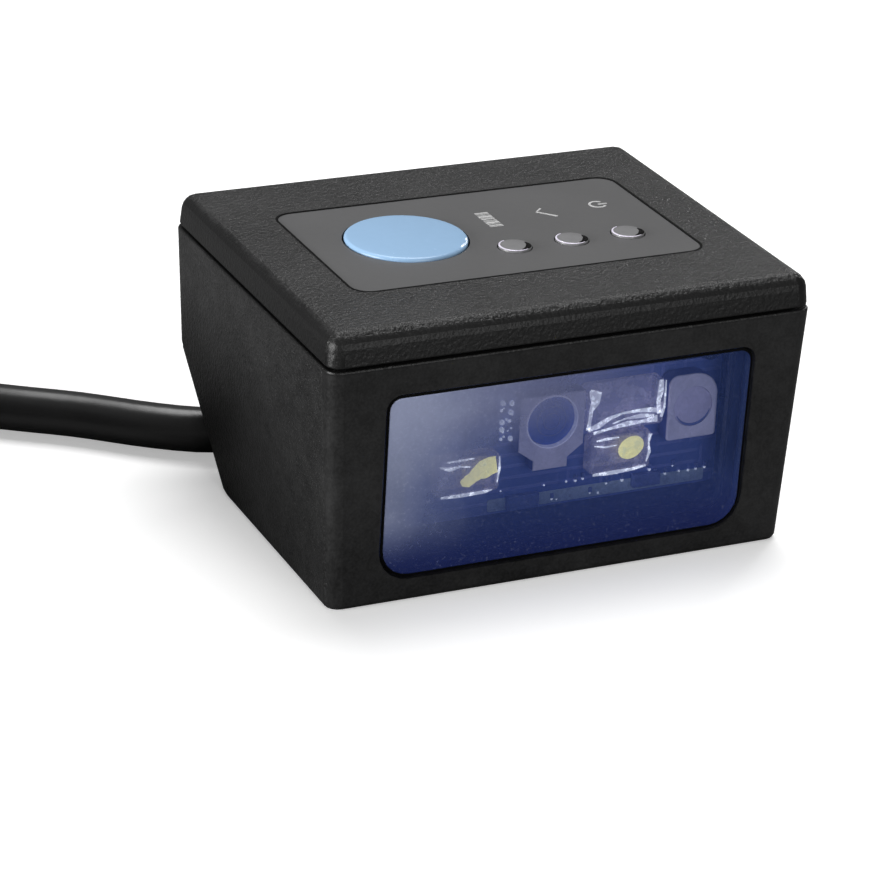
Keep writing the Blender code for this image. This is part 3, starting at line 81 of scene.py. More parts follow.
# %% Shader arithmetic
class Wire:
    def __init__(self, tree, socket=None):
        self.tree = tree
        self.socket = socket

    def node(self, kind, settings=None, values=None, output=0):
        made = self.tree.nodes.new(kind)
        for key, value in (settings or {}).items():
            setattr(made, key, value)
        for key, value in (values or {}).items():
            if isinstance(value, Wire):
                self.tree.links.new(value.socket, made.inputs[key])
            else:
                made.inputs[key].default_value = value
        return Wire(self.tree, made.outputs[output]) if made.outputs else made

    def math(self, operation, *others):
        return self.node("ShaderNodeMath", {"operation": operation}, dict(enumerate((self, *others))))

    def __add__(self, other):
        return self.math("ADD", other)

    def __mul__(self, other):
        return self.math("MULTIPLY", other)

    def __sub__(self, other):
        return self.math("SUBTRACT", other)

    def __rsub__(self, other):
        return self.node("ShaderNodeMath", {"operation": "SUBTRACT"}, {0: other, 1: self})

    def __neg__(self):
        return self * -1.0

    __radd__ = __add__
    __rmul__ = __mul__

    def clamped(self):
        return self.node("ShaderNodeClamp", {}, {"Value": self})

    def ramp(self, low, high):
        values = {"Value": self, "From Min": low, "From Max": high}
        return self.node("ShaderNodeMapRange", {"interpolation_type": "SMOOTHSTEP"}, values)

    def mix(self, first, second):
        settings = {"data_type": "RGBA", "clamp_factor": True}
        values = {0: self, 6: first, 7: second}
        return self.node("ShaderNodeMix", settings, values, 2)


print("arithmetic for shaders:", ", ".join(name for name in vars(Wire) if not name.startswith("_")))

# %% [markdown]
# Each material starts as an empty tree with the Object coordinates, which stay
# with the piece in every view, and ends with a shader at the output. Between the
# two, nearly all of them use the same things: soft noise, cells and a bump.

# %% Helpers for materials
def start_material(name):
    made = bpy.data.materials.new(name)
    made.use_nodes = True
    made.node_tree.nodes.clear()
    wire = Wire(made.node_tree)
    place = wire.node("ShaderNodeTexCoord", output="Object")
    return made, wire, place


def end_material(wire, shader):
    wire.node("ShaderNodeOutputMaterial", {}, {"Surface": shader})


def coordinate(wire, place, axis):
    axes = wire.node("ShaderNodeSeparateXYZ", {}, {"Vector": place})
    return Wire(wire.tree, axes.socket.node.outputs[axis])


def noise(wire, place, size, detail=2.0, roughness=0.5):
    values = {"Vector": place, "Scale": 1 / size, "Detail": detail, "Roughness": roughness}
    return wire.node("ShaderNodeTexNoise", {}, values)


def cells(wire, place, size):
    return wire.node("ShaderNodeTexVoronoi", {}, {"Vector": place, "Scale": 1 / size})


def bump(wire, height, depth, strength=1.0):
    values = {"Height": height, "Distance": depth, "Strength": strength}
    return wire.node("ShaderNodeBump", {}, values)


def rgba(colour, factor=1.0):
    return (*(channel * factor for channel in colour), 1.0)


print("noise one millimetre across has a scale of", 1 / 0.001)

# %% [markdown]
# The housing is moulded from black plastic in a tool with a spark-eroded face,
# which leaves a fine, even grain. The grain is drawn as a bump, a little deeper
# than life, so that it breaks the highlights along the edges into specks. The
# front wall is nearly smooth, and the lid's rim is smoother than its top and
# darkened with painted shade. Clouds in the colour and in the roughness keep
# large walls from looking like painted card.

# %% Moulded plastic
# metres forward, and up from the table, between which one surface gives way to the next
FRONT_WALL = (0.0184, 0.0190)
LID_FOOT = (0.0244, 0.0250)
LID_RIM = (0.0276, 0.0281)
CLOUD_SIZE = 0.009


def moulded(name, colour, roughness, grain, depth, strength, specular=0.5, cloud=0.10, housing=False):
    made, wire, place = start_material(name)
    fine = noise(wire, place, grain, 3.0, 0.6)
    pits = cells(wire, place, grain * 1.6)
    clouds = noise(wire, place, CLOUD_SIZE, 3.0)
    blotches = noise(wire, place, grain * 5.0, 4.0, 0.65)
    surface = fine * 0.7 + pits * 0.3
    tone = clouds.ramp(0.3, 0.7) * 0.35 + blotches.ramp(0.35, 0.65) * 0.3 + fine.ramp(0.35, 0.65) * 0.35
    if housing:
        upward = coordinate(wire, place, "Z")
        lid = upward.ramp(*LID_FOOT)
        rim = lid * (1 - upward.ramp(*LID_RIM))
        front = (-coordinate(wire, place, "Y")).ramp(*FRONT_WALL) * (1 - lid)
        surface = surface * (1 - front * 0.88) * (1 - rim * 0.6)
        # painted shade: the lid's rim is drawn darker in colour
        tone = tone - rim
    values = {
        "Base Color": tone.mix(rgba(colour, 1 - cloud), rgba(colour, 1 + cloud)),
        "Roughness": (clouds - 0.5) * 0.12 + (fine - 0.5) * 0.10 + roughness,
        "Specular IOR Level": specular,
        "Normal": bump(wire, surface, depth, strength),
    }
    end_material(wire, wire.node("ShaderNodeBsdfPrincipled", {}, values))
    return made


BLACK = moulded("black_plastic", (0.0195, 0.0195, 0.0197), 0.40, 0.00028, 0.00022, 1.0, 0.42, 0.62, True)
print("housing's shader:", len(BLACK.node_tree.nodes), "nodes")

# %% [markdown]
# The same recipe, with other colours, grains and depths, gives the rubber of the
# seals and the boot, the smooth jacket of the cord and the small mouldings on the
# boards. A smaller depth and strength give a smoother moulding.

# %% Rubber, cord jacket and small mouldings
# real rubber for the seals, and painted shade for the black slivers in the label's groove and round the
# window and the indicators
RUBBER_AND_SHADE = moulded("dark_rubber", (0.0035, 0.0035, 0.0037), 0.80, 0.0003, 0.00002, 0.5, 0.10)
JACKET = moulded("cord_jacket", (0.026, 0.026, 0.0265), 0.30, 0.0006, 0.00002, 0.35, 0.60)
BOOT = moulded("boot_rubber", (0.014, 0.014, 0.0145), 0.48, 0.00025, 0.00002, 0.6, 0.40)
CHIP = moulded("chip_black", (0.018, 0.018, 0.020), 0.45, 0.0001, 0.00001, 0.5, 0.45)
IVORY = moulded("ivory_nylon", (0.62, 0.59, 0.51), 0.50, 0.0002, 0.00001, 0.4)
# also used for the painted shade on the aimer's disc
PART_AND_SHADE = moulded("small_part_and_painted_shade", (0.17, 0.20, 0.42), 0.45, 0.0003, 0.00002, 0.6, 0.4, 0.3)
CERAMIC = moulded("white_ceramic", (0.78, 0.76, 0.66), 0.45, 0.00012, 0.00001, 0.4)
print("materials so far:", len(bpy.data.materials))

# %% [markdown]
# The holders of the camera and of the aimer are pale on the face that looks out
# of the window. Their sides lie in the shade of the board, so the colour changes
# with the distance forward, just behind the face.

# %% Holders
ENGINE_FACE = (0.01622, 0.01636)


def faced(name, colour, side_colour, roughness):
    made, wire, place = start_material(name)
    forward = -coordinate(wire, place, "Y")
    fine = noise(wire, place, 0.00015, 3.0)
    clouds = noise(wire, place, 0.002, 3.0)
    tone = clouds.ramp(0.3, 0.7).mix(rgba(colour, 0.88), rgba(colour, 1.06))
    values = {
        "Base Color": forward.ramp(*ENGINE_FACE).mix(rgba(side_colour), tone),
        "Roughness": (clouds - 0.5) * 0.15 + roughness,
        "Specular IOR Level": 0.4,
        "Normal": bump(wire, fine, 0.000012, 0.5),
    }
    end_material(wire, wire.node("ShaderNodeBsdfPrincipled", {}, values))
    return made


VIOLET = faced("holder_violet", (0.98, 0.84, 0.93), (0.10, 0.12, 0.34), 0.45)
print("pale from", ENGINE_FACE[1], "m forward")

# %% [markdown]
# The label is a grey printed film with a satin face, the key a light blue
# moulding, and the marks are white ink. Ink has ragged, thin places, so its
# colour wanders a little towards the grey below.

# %% Label film, key and ink
LABEL = moulded("label_film", (0.116, 0.116, 0.118), 0.42, 0.00014, 0.000012, 0.5, 0.35, 0.05)
KEY = moulded("key_blue", (0.355, 0.560, 0.815), 0.24, 0.0008, 0.000006, 0.3, 0.45, 0.015)


def ink_material():
    made, wire, place = start_material("white_ink")
    worn = noise(wire, place, 0.00018, 4.0, 0.7).ramp(0.30, 0.55)
    values = {
        "Base Color": worn.mix(rgba((0.36, 0.36, 0.36)), rgba((0.62, 0.62, 0.62))),
        "Roughness": 0.55,
    }
    end_material(wire, wire.node("ShaderNodeBsdfPrincipled", {}, values))
    return made


INK = ink_material()
print("label finishes:", LABEL.name, KEY.name, INK.name)

# %% [markdown]
# Steel and brass are turned or drawn, which leaves fine lines round or along a
# piece. Stretching a noise along one axis gives such lines without an image. The
# flat cables are film with copper in it, so they have the lines and no metal.

# %% Metals and the flat cable
def streaked(name, colour, roughness, stretch, metallic=1.0):
    made, wire, place = start_material(name)
    mapping = wire.node("ShaderNodeMapping", {}, {"Vector": place, "Scale": stretch})
    lines = noise(wire, mapping, 0.001, 4.0, 0.7)
    values = {
        "Base Color": lines.mix(rgba(colour, 0.82), rgba(colour, 1.08)),
        "Metallic": metallic,
        "Roughness": (lines - 0.5) * 0.25 + roughness,
        "Normal": bump(wire, lines, 0.00001, 0.4),
    }
    end_material(wire, wire.node("ShaderNodeBsdfPrincipled", {}, values))
    return made


STEEL = streaked("steel", (0.62, 0.62, 0.63), 0.28, (6, 6, 1))
BRASS = streaked("brass", (0.72, 0.50, 0.20), 0.32, (1, 1, 8))
AMBER = streaked("flex_amber", (0.45, 0.21, 0.04), 0.40, (12, 1, 1), 0.0)
print("streaked finishes:", STEEL.name, BRASS.name, AMBER.name)

# %% [markdown]
# A circuit board is glass cloth under a thin coat of coloured lacquer. Copper
# tracks show through the coat as slightly raised, lighter lines. Two striped
# patterns, one across and one upright, are thresholded into such tracks.

# %% Circuit board
TRACK_RATE = 5200


def board_material(name, lacquer, track, upright_axis):
    made, wire, place = start_material(name)
    sideways = coordinate(wire, place, "X")
    upward = coordinate(wire, place, upright_axis)
    patches = cells(wire, place, 0.0035).ramp(0.25, 0.45)
    across = (upward * TRACK_RATE).math("SINE").ramp(0.55, 0.75)
    along = (sideways * TRACK_RATE).math("SINE").ramp(0.55, 0.75)
    tracks = across * patches + along * (1 - patches)
    weave = noise(wire, place, 0.0004, 2.0)
    values = {
        "Base Color": (tracks * 0.75 + weave * 0.2).mix(rgba(lacquer), rgba(track)),
        "Roughness": (weave - 0.5) * 0.2 + 0.36,
        "Normal": bump(wire, tracks, 0.00003, 0.6),
    }
    end_material(wire, wire.node("ShaderNodeBsdfPrincipled", {}, values))
    return made


ENGINE_BOARD = board_material("engine_board_blue", (0.110, 0.160, 0.440), (0.240, 0.270, 0.600), "Z")
BOARD = board_material("board_green", (0.012, 0.090, 0.055), (0.040, 0.190, 0.110), "Y")
print("tracks every", round(2000 * math.pi / TRACK_RATE, 2), "mm")

# %% [markdown]
# The window is a blue filter. Here the glass itself tints only a little, and most
# of the colour is a cover on its face: deep blue, darker towards the bottom and
# paler towards the top except at the right, with a whitish painted sheen at the
# left end that stands in for light grazing the glass. The cover follows the
# distance along the glass, so it stays put in every view.

# %% Window glass
def window_material():
    made, wire, place = start_material("tinted_window")
    sideways = coordinate(wire, place, "X")
    upward = coordinate(wire, place, "Z")
    smear = noise(wire, place, 0.004, 4.0, 0.6)
    dust = noise(wire, place, 0.00035, 2.0, 0.7)
    slanted = sideways + upward * -0.35 + (smear - 0.5) * 0.008
    # painted sheen: a whitish veil at the left end, standing in for grazing light
    painted_sheen = (1 - slanted.ramp(-0.0270, -0.0080)) * upward.ramp(0.0035, 0.0095)
    low = 1 - upward.ramp(0.003, 0.011)
    high = upward.ramp(0.012, 0.020) * (1 - sideways.ramp(-0.003, 0.014))
    specks = dust.ramp(0.58, 0.72)
    deep = low.mix(rgba((0.095, 0.165, 0.520)), rgba((0.034, 0.055, 0.250)))
    raised = (high * 0.8).mix(deep, rgba((0.42, 0.45, 0.72)))
    colour = (painted_sheen + specks * 0.25).mix(raised, rgba((0.54, 0.60, 0.86)))
    cover = 0.16 + painted_sheen * 0.50 + low * 0.38 + high * 0.26
    cover = (cover + (dust - 0.5) * 0.16 + (smear - 0.5) * 0.10).clamped()
    surface = wire.node("ShaderNodeBsdfPrincipled", {}, {
        "Base Color": colour,
        "Roughness": (smear - 0.5) * 0.10 + 0.16,
        "Specular IOR Level": 0.35,
        "Normal": bump(wire, dust, 0.000008, 0.3),
    })
    through = wire.node("ShaderNodeBsdfTransparent", {}, {"Color": rgba((0.87, 0.91, 0.98))})
    end_material(wire, wire.node("ShaderNodeMixShader", {}, {0: cover, 1: through, 2: surface}))
    return made


WINDOW = window_material()
print("window's shader:", len(WINDOW.node_tree.nodes), "nodes")

# %% [markdown]
# The caps over the two lights and the light guide are clear mouldings, so their
# material is mostly see-through, with a noise that turns narrow bands into
# brighter facets and a faint glow, which is painted light. With more cover and
# more glow it also makes painted light elsewhere: the shining edges, the glints
# on the solder and the key, the shine of the camera's front ring and of the
# indicators, and the glow of the phosphor. The indicator lenses are frosted and
# the other lenses coated, so moulded() serves for them.

# %% Clear mouldings
def clear_material(name, colour, cover_low, cover_high, size, glow=0.0):
    made, wire, place = start_material(name)
    folds = noise(wire, place, size, 3.0, 0.65)
    facets = folds.ramp(0.50, 0.62)
    surface = wire.node("ShaderNodeBsdfPrincipled", {}, {
        "Base Color": rgba(colour),
        "Roughness": (folds - 0.5) * 0.2 + 0.14,
        "Specular IOR Level": 0.7,
        "Emission Color": rgba(colour),
        "Emission Strength": glow,
        "Normal": bump(wire, folds, 0.0002, 0.8),
    })
    through = wire.node("ShaderNodeBsdfTransparent", {}, {"Color": rgba((0.93, 0.93, 0.97))})
    cover = facets * (cover_high - cover_low) + cover_low
    end_material(wire, wire.node("ShaderNodeMixShader", {}, {0: cover, 1: through, 2: surface}))
    return made


# the caps glow faintly, which is painted light
CLEAR = clear_material("clear_cap", (0.82, 0.73, 0.84), 0.26, 0.56, 0.0016, 0.08)
# painted highlight: white glowing slivers for shining edges and glints
PAINTED_GLINT = clear_material("painted_glint", (0.99, 0.98, 0.97), 0.30, 1.0, 0.0006, 0.95)
# painted glint: the solder beads are covered in glowing white
BEAD = clear_material("solder_bead", (0.98, 0.98, 1.0), 0.75, 1.0, 0.0004, 0.45)
FROSTED = moulded("frosted_lens", (0.25, 0.25, 0.255), 0.20, 0.0006, 0.00001, 0.3, 0.6, 0.05)
# the phosphor's yellow is its own colour; its glow is painted light
PHOSPHOR = clear_material("phosphor", (0.98, 0.90, 0.42), 0.72, 1.0, 0.0009, 0.58)
# painted shine: the camera's front ring and the indicators' bright arcs glow
PAINTED_SHINE = clear_material("painted_shine", (0.84, 0.80, 0.92), 0.80, 1.0, 0.0008, 0.22)
LENS_BLUE = moulded("coated_lens", (0.050, 0.120, 0.500), 0.12, 0.002, 0.000004, 0.2, 0.6, 0.05)
LENS_VIOLET = moulded("aimer_glass", (0.86, 0.72, 0.86), 0.25, 0.001, 0.00001, 0.3, 0.45)
print("materials:", len(bpy.data.materials))

# %% [markdown]
# Every piece ends the same way: its mesh gets outward normals and smooth round
# faces, its finish goes in its material slot, it is attached to the body it moves
# with, and the CAD solids it stands for are hidden.

# %% Placing a piece
def place_piece(name, bm, finish, body="housing", stands_for=(), angle=35):
    bmesh.ops.remove_doubles(bm, verts=bm.verts, dist=1e-7)
    bmesh.ops.recalc_face_normals(bm, faces=bm.faces)
    mesh = bpy.data.meshes.new(name)
    bm.to_mesh(mesh)
    bm.free()
    mesh.materials.append(finish)
    mesh.shade_smooth()
    mesh.set_sharp_from_angle(angle=math.radians(angle))
    piece = bpy.data.objects.new(name, mesh)
    bpy.context.scene.collection.objects.link(piece)
    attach(piece, body)
    if stands_for:
        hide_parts(*stands_for)
    return piece


# %% [markdown]
# A CAD solid comes as loose triangles. Its dressed copy has them merged into
# whole faces, so that fillets shade as round. Faces larger than flat_above, in
# square metres, stay flat.

# %% Dressing a CAD solid
def dress(node, finish, body="housing", angle=35, flat_above=1.0):
    bm = bmesh.new()
    bm.from_mesh(NODES[node].data)
    bmesh.ops.remove_doubles(bm, verts=bm.verts, dist=2e-6)
    bmesh.ops.dissolve_degenerate(bm, edges=bm.edges, dist=1e-6)
    bmesh.ops.dissolve_limit(bm, angle_limit=math.radians(0.6), verts=bm.verts, edges=bm.edges)
    piece = place_piece(f"{node}_finish", bm, finish, body, (node,), angle)
    for face in piece.data.polygons:
        if face.area > flat_above:
            face.use_smooth = False
    weighted = piece.modifiers.new("flat faces stay flat", "WEIGHTED_NORMAL")
    weighted.keep_sharp = True
    return piece


print("solids that can be dressed:", len(NODES))

# %% [markdown]
# Most small pieces are flat plates. An outline is drawn as one face and extruded
# upwards, and its upper edge can be bevelled. The outline is often a rectangle
# with rounded corners, so a helper works those out.

# %% Plates
def prism(bm, outline, low, high, edge=0.0, segments=1):
    """An outline in XY drawn up from low to high, with its upper edge bevelled by edge."""
    face = bm.faces.new([bm.verts.new((x, y, low)) for x, y in outline])
    grown = bmesh.ops.extrude_face_region(bm, geom=[face])["geom"]
    raised = [item for item in grown if isinstance(item, bmesh.types.BMVert)]
    bmesh.ops.translate(bm, verts=raised, vec=(0, 0, high - low))
    if edge:
        rim = [e for e in {e for v in raised for e in v.link_edges} if all(v in raised for v in e.verts)]
        settings = {"segments": segments, "profile": 0.5, "affect": "EDGES", "material": -1}
        bmesh.ops.bevel(bm, geom=rim, offset=edge, **settings)


def rounded(width, height, radius, centre=(0.0, 0.0), steps=8):
    points = []
    for side, rise, start in ((1, -1, -90), (1, 1, 0), (-1, 1, 90), (-1, -1, 180)):
        x = centre[0] + side * (width / 2 - radius)
        y = centre[1] + rise * (height / 2 - radius)
        for step in range(steps + 1):
            angle = math.radians(start + 90 * step / steps)
            points.append((x + radius * math.cos(angle), y + radius * math.sin(angle)))
    return points


print("a rounded plate has", len(rounded(2, 1, 0.2)), "corners")

# %% [markdown]
# Bright edges and printed lines are ridges. A ridge's outline comes from a line
# of spots, each with its own width, so it can swell and taper like the stroke of
# a brush. A crescent gives the spots of such a stroke along an arc.

# %% Ridges and crescents
def ribbon(spots, unit=1.0):
    """The outline of a line through spots of (x, y, width)."""
    places = [Vector(spot[:2]) * unit for spot in spots]
    one_side, other_side = [], []
    for i, (place, spot) in enumerate(zip(places, spots)):
        along = (places[min(i + 1, len(places) - 1)] - places[max(i - 1, 0)]).normalized()
        across = Vector((-along.y, along.x)) * spot[2] * unit / 2
        one_side.append(tuple(place + across))
        other_side.append(tuple(place - across))
    return one_side + other_side[::-1]


def streak(bm, spots, low, height, unit=0.001):
    """A ridge through spots in millimetres, or in metres with a unit of 1."""
    prism(bm, ribbon(spots, unit), low, low + height, height * 0.4, 2)


def crescent(centre, radius, first, sweep, thin, swell, steps):
    """Spots along an arc in degrees, thin at both ends and swollen in the middle."""
    spots = []
    for step in range(steps + 1):
        share = step / steps
        angle = math.radians(first + sweep * share)
        width = thin + swell * math.sin(math.pi * share)
        spots.append((centre[0] + radius * math.cos(angle), centre[1] + radius * math.sin(angle), width))
    return spots


print("a straight ridge of three spots has", len(ribbon([(0, 0, 1), (1, 0, 2), (2, 0, 1)])), "corners")

# %% [markdown]
# Round pieces are spun from half of their section, given as points of radius and
# height. The section of a key or lens goes up its side, round a small shoulder
# and over a shallow crown to the middle.

# %% Spun pieces
def shoulder(radius, top, edge, steps):
    points = []
    for step in range(steps + 1):
        angle = math.pi / 2 * step / steps
        points.append((radius - edge + edge * math.cos(angle), top - edge + edge * math.sin(angle)))
    return points


def crown(radius, foot, rise, steps):
    shares = [1 - step / steps for step in range(1, steps + 1)]
    return [(radius * share, foot + rise * (1 - share * share)) for share in shares]


def spun(bm, profile, steps=64):
    verts = [bm.verts.new((radius, 0, z)) for radius, z in profile]
    edges = [bm.edges.new(pair) for pair in zip(verts, verts[1:])]
    bmesh.ops.spin(bm, geom=verts + edges, cent=(0, 0, 0), axis=(0, 0, 1), angle=2 * math.pi,
                   steps=steps, use_merge=True)
    bmesh.ops.remove_doubles(bm, verts=bm.verts, dist=1e-7)


print("a crown of 1 mm in 4 steps:", [round(height, 3) for _, height in crown(1, 0, 1, 4)])

# %% [markdown]
# Pieces of the scan engine are drawn flat, where they are easy to think about,
# and then stood up on its board, with what was up now facing the window.

# %% Standing a piece on the engine board
BOARD_FRONT = -0.01460
SEAT = 0.00025


def to_board(bm, x, z, y=BOARD_FRONT - SEAT):
    place = Matrix.Translation((x, y, z)) @ Matrix.Rotation(math.pi / 2, 4, "X")
    bmesh.ops.transform(bm, matrix=place, verts=bm.verts)


print("engine board's front face at", BOARD_FRONT, "m")

# %% [markdown]
# The cord is one length of jacketed cable, 4.8 mm thick. It leaves its boot
# sideways, sinks to the table and runs off to the left behind the housing. Its
# tail comes out of the coil and goes to the plug. Both are given as points.

# %% The cord's route
CORD_RADIUS = 0.0024
EXIT = (-0.00575, 0.01884, 0.00441)
LEAD_ROUTE = [
    (-0.0112, 0.0183, 0.0039),
    (-0.0145, 0.0177, 0.0031),
    (-0.0180, 0.0176, 0.0026),
    (-0.0221, 0.0188, 0.0024),
    (-0.0270, 0.0218, 0.0024),
    (-0.0330, 0.0266, 0.0024),
    (-0.0383, 0.0301, 0.0024),
    (-0.0430, 0.0334, 0.0024),
    (-0.0489, 0.0372, 0.0028),
]
TAIL_ROUTE = [
    (-0.0928, 0.0544, 0.0058),
    (-0.1017, 0.0544, 0.0036),
    (-0.1100, 0.0513, 0.0025),
    (-0.1168, 0.0456, 0.0025),
    (-0.1213, 0.0379, 0.0031),
    (-0.1228, 0.0300, 0.0038),
    (-0.1228, 0.0275, 0.0040),
    (-0.1228, 0.0263, 0.0040),
]
print("points given:", len(LEAD_ROUTE), "before the coil,", len(TAIL_ROUTE), "after it")

# %% [markdown]
# The rest is put away out of sight in a coil, three turns wide and four high.
# The turns don't jump from one place to the next: each crosses over in a short
# slanting stretch, a little earlier than the turn before it.

# %% The coil
COIL_CENTRE = Vector((-0.08065, 0.0210, 0.0))
COIL_RADIUS = 0.0260
COIL_FLOOR = 0.00105
COIL_START, COIL_END = 57.0, 80.0
TURNS = 11
CROSSING = 0.16
FIRST_CROSSING, BETWEEN_CROSSINGS = 0.95, 0.925
# the places of the turns, as (row up from the table, column out from the middle)
PLACES = [(0, 1), (0, 0), (0, -1), (1, -1), (2, -1), (3, -1), (3, 0), (3, 1), (2, 1), (2, 0), (1, 0), (1, 1)]


def coil_point(turn):
    """Where the cord is after so many turns round the coil."""
    row, column = PLACES[0]
    for k, (first, second) in enumerate(zip(PLACES, PLACES[1:])):
        middle = FIRST_CROSSING + BETWEEN_CROSSINGS * k
        share = min(1.0, max(0.0, (turn - middle) / CROSSING + 0.5))
        share = share * share * (3 - 2 * share)
        row += (second[0] - first[0]) * share
        column += (second[1] - first[1]) * share
    radius = COIL_RADIUS + 2 * CORD_RADIUS * column
    angle = math.radians(COIL_START) + 2 * math.pi * turn
    height = COIL_FLOOR + CORD_RADIUS * (1 + 2 * row)
    return COIL_CENTRE + Vector((radius * math.cos(angle), radius * math.sin(angle), height))


whole = TURNS + (COIL_END - COIL_START) / 360
turn_points = [coil_point(whole * step / (24 * TURNS)) for step in range(24 * TURNS + 1)]
print("coil:", round(whole, 3), "turns")

# %% [markdown] Straight pieces between the points would show as kinks, so a
# smooth curve goes through all of them and is read again at even steps of 2.2
# mm.

# %% The smooth route
SPACING = 0.0022


def smooth_curve(points, spacing):
    """Points read at even spacing from a smooth curve through the given ones."""
    knots = [Vector(point) for point in points]
    knots = [2 * knots[0] - knots[1], *knots, 2 * knots[-1] - knots[-2]]
    fine = [knots[1]]
    for a, b, c, d in zip(knots, knots[1:], knots[2:], knots[3:]):
        for step in range(1, 13):
            t = step / 12
            bend = (2 * a - 5 * b + 4 * c - d) * t * t + (3 * b - a - 3 * c + d) * t ** 3
            fine.append(0.5 * (2 * b + (c - a) * t + bend))
    lengths = [0.0]
    for start, end in zip(fine, fine[1:]):
        lengths.append(lengths[-1] + (end - start).length)
    count = round(lengths[-1] / spacing)
    read, index = [], 0
    for step in range(count + 1):
        wanted = lengths[-1] * step / count
        while index < len(lengths) - 2 and lengths[index + 1] < wanted:
            index += 1
        share = (wanted - lengths[index]) / (lengths[index + 1] - lengths[index])
        read.append(fine[index].lerp(fine[index + 1], min(1.0, share)))
    return read, lengths[-1]


exit_point = Vector(EXIT)
straight = [exit_point + Vector((-step * CORD_RADIUS / 2, 0, 0)) for step in range(4)]
route = [*straight, *LEAD_ROUTE, *turn_points, *TAIL_ROUTE]
cord_path, cord_length = smooth_curve(route, SPACING)
print("cord:", round(cord_length, 4), "m,", len(cord_path), "points")

# %% [markdown] The cord is drawn as one tube along that route. It wears a ribbed
# boot where it leaves the housing, a tie round the coil and a plug at its far
# end.

# %% The cord, its boot, tie and plug
cord_data = bpy.data.curves.new("cord", "CURVE")
cord_data.dimensions = "3D"
cord_data.bevel_depth = CORD_RADIUS
cord_data.bevel_resolution = 5
cord_data.use_fill_caps = True
spline = cord_data.splines.new("POLY")
spline.points.add(len(cord_path) - 1)
for target, point in zip(spline.points, cord_path):
    target.co = (*point, 1.0)
cord_data.materials.append(JACKET)
cord = bpy.data.objects.new("cord", cord_data)
bpy.context.scene.collection.objects.link(cord)
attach(cord, "housing")
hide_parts("cord_lead", "cord_coil", "cord_tail")

boot = dress("strain_relief", BOOT, angle=40)
tie = dress("coil_tie", BOOT, angle=50)
grip = dress("plug_body", BOOT, angle=40)
shell = dress("plug_shell", STEEL)
print("cord's thickness:", 2 * CORD_RADIUS, "m")

# %% [markdown]
# The lower shell, the lid, the label and what shows through the window are the
# solids of the CAD, dressed. The large walls stay flat and the fillets are smooth.

# %% Housing, label, window and engine
LARGE_FACE = 0.00002
dress("base_housing", BLACK, angle=28, flat_above=LARGE_FACE)
dress("top_cover", BLACK, angle=28, flat_above=LARGE_FACE)
dress("keypad_label", LABEL)
dress("window", WINDOW, angle=50)
dress("window_gasket", RUBBER_AND_SHADE)
dress("engine_board", ENGINE_BOARD)
dress("camera_lens_holder", VIOLET)
dress("aimer_housing", VIOLET, angle=25)

# %% [markdown]
# The boards inside, and the screws and inserts below, need no change of shape.
# They keep the mesh of the CAD and only get a finish in its material slot.

# %% Finish of the inner parts
PLAIN = {
    "cover_seal": RUBBER_AND_SHADE,
    "main_board": BOARD,
    "keypad_board": BOARD,
    "engine_chassis": CHIP,
    "image_sensor": CHIP,
    "main_chip": CHIP,
    "beeper": CHIP,
    "trigger_switch": CHIP,
    "switch_plunger": IVORY,
    "cable_header": IVORY,
    "cable_connector": IVORY,
    "inner_lead": JACKET,
    "engine_flex": AMBER,
    "keypad_flex": AMBER,
    "mount_insert_left": BRASS,
    "mount_insert_right": BRASS,
}
finished = 0
for name, node in NODES.items():
    finish = PLAIN.get(name)
    if "screw" in name:
        finish = STEEL
    if name.startswith("indicator_led") or name in ("left_led", "right_led"):
        finish = CERAMIC
    if finish:
        node.data.materials.clear()
        node.data.materials.append(finish)
        finished += 1
print("inner parts with a finish:", finished)

# %% [markdown]
# The label lies in a recess a little larger than itself. The groove between them
# is too narrow for light to reach its foot, so it is drawn as a black sliver
# that follows the label's edge, taken from the label's own size in the frame.

# %% Groove round the label
LABEL_TOP = 0.02815
LABEL_RADIUS = 0.0018
GROOVE_START, GROOVE_END = 0.00002, 0.00026
GROOVE_FOOT, GROOVE_TOP = -0.0003, 0.00007
label_box = [Vector(corner) for corner in NODES["keypad_label"].bound_box]
LABEL_MIDDLE = (label_box[0] + label_box[6]) / 2
LABEL_SIZE = label_box[6] - label_box[0]
section = (
    (GROOVE_START, GROOVE_FOOT),
    (GROOVE_START, GROOVE_TOP),
    (GROOVE_END, GROOVE_TOP),
    (GROOVE_END, GROOVE_FOOT),
)
bm = bmesh.new()
loops = []
for grow, height in section:
    width, length = LABEL_SIZE.x + 2 * grow, LABEL_SIZE.y + 2 * grow
    outline = rounded(width, length, LABEL_RADIUS + grow, LABEL_MIDDLE.xy)
    verts = [bm.verts.new((x, y, LABEL_TOP + height)) for x, y in outline]
    loops.append([bm.edges.new(pair) for pair in zip(verts, verts[1:] + verts[:1])])
for first, second in zip(loops, loops[1:] + loops[:1]):
    bmesh.ops.bridge_loops(bm, edges=first + second)
place_piece("label_groove", bm, RUBBER_AND_SHADE)
print("label:", [round(size * 1000, 2) for size in LABEL_SIZE], "mm")

# %% [markdown]
# The window is bedded in a black gasket. The thin black line all round it is a
# black sliver of painted shade. The line starts as the window's own front face. A
# negative inset grows it by the line's width, the middle is thrown away and the
# rim is given a thickness.

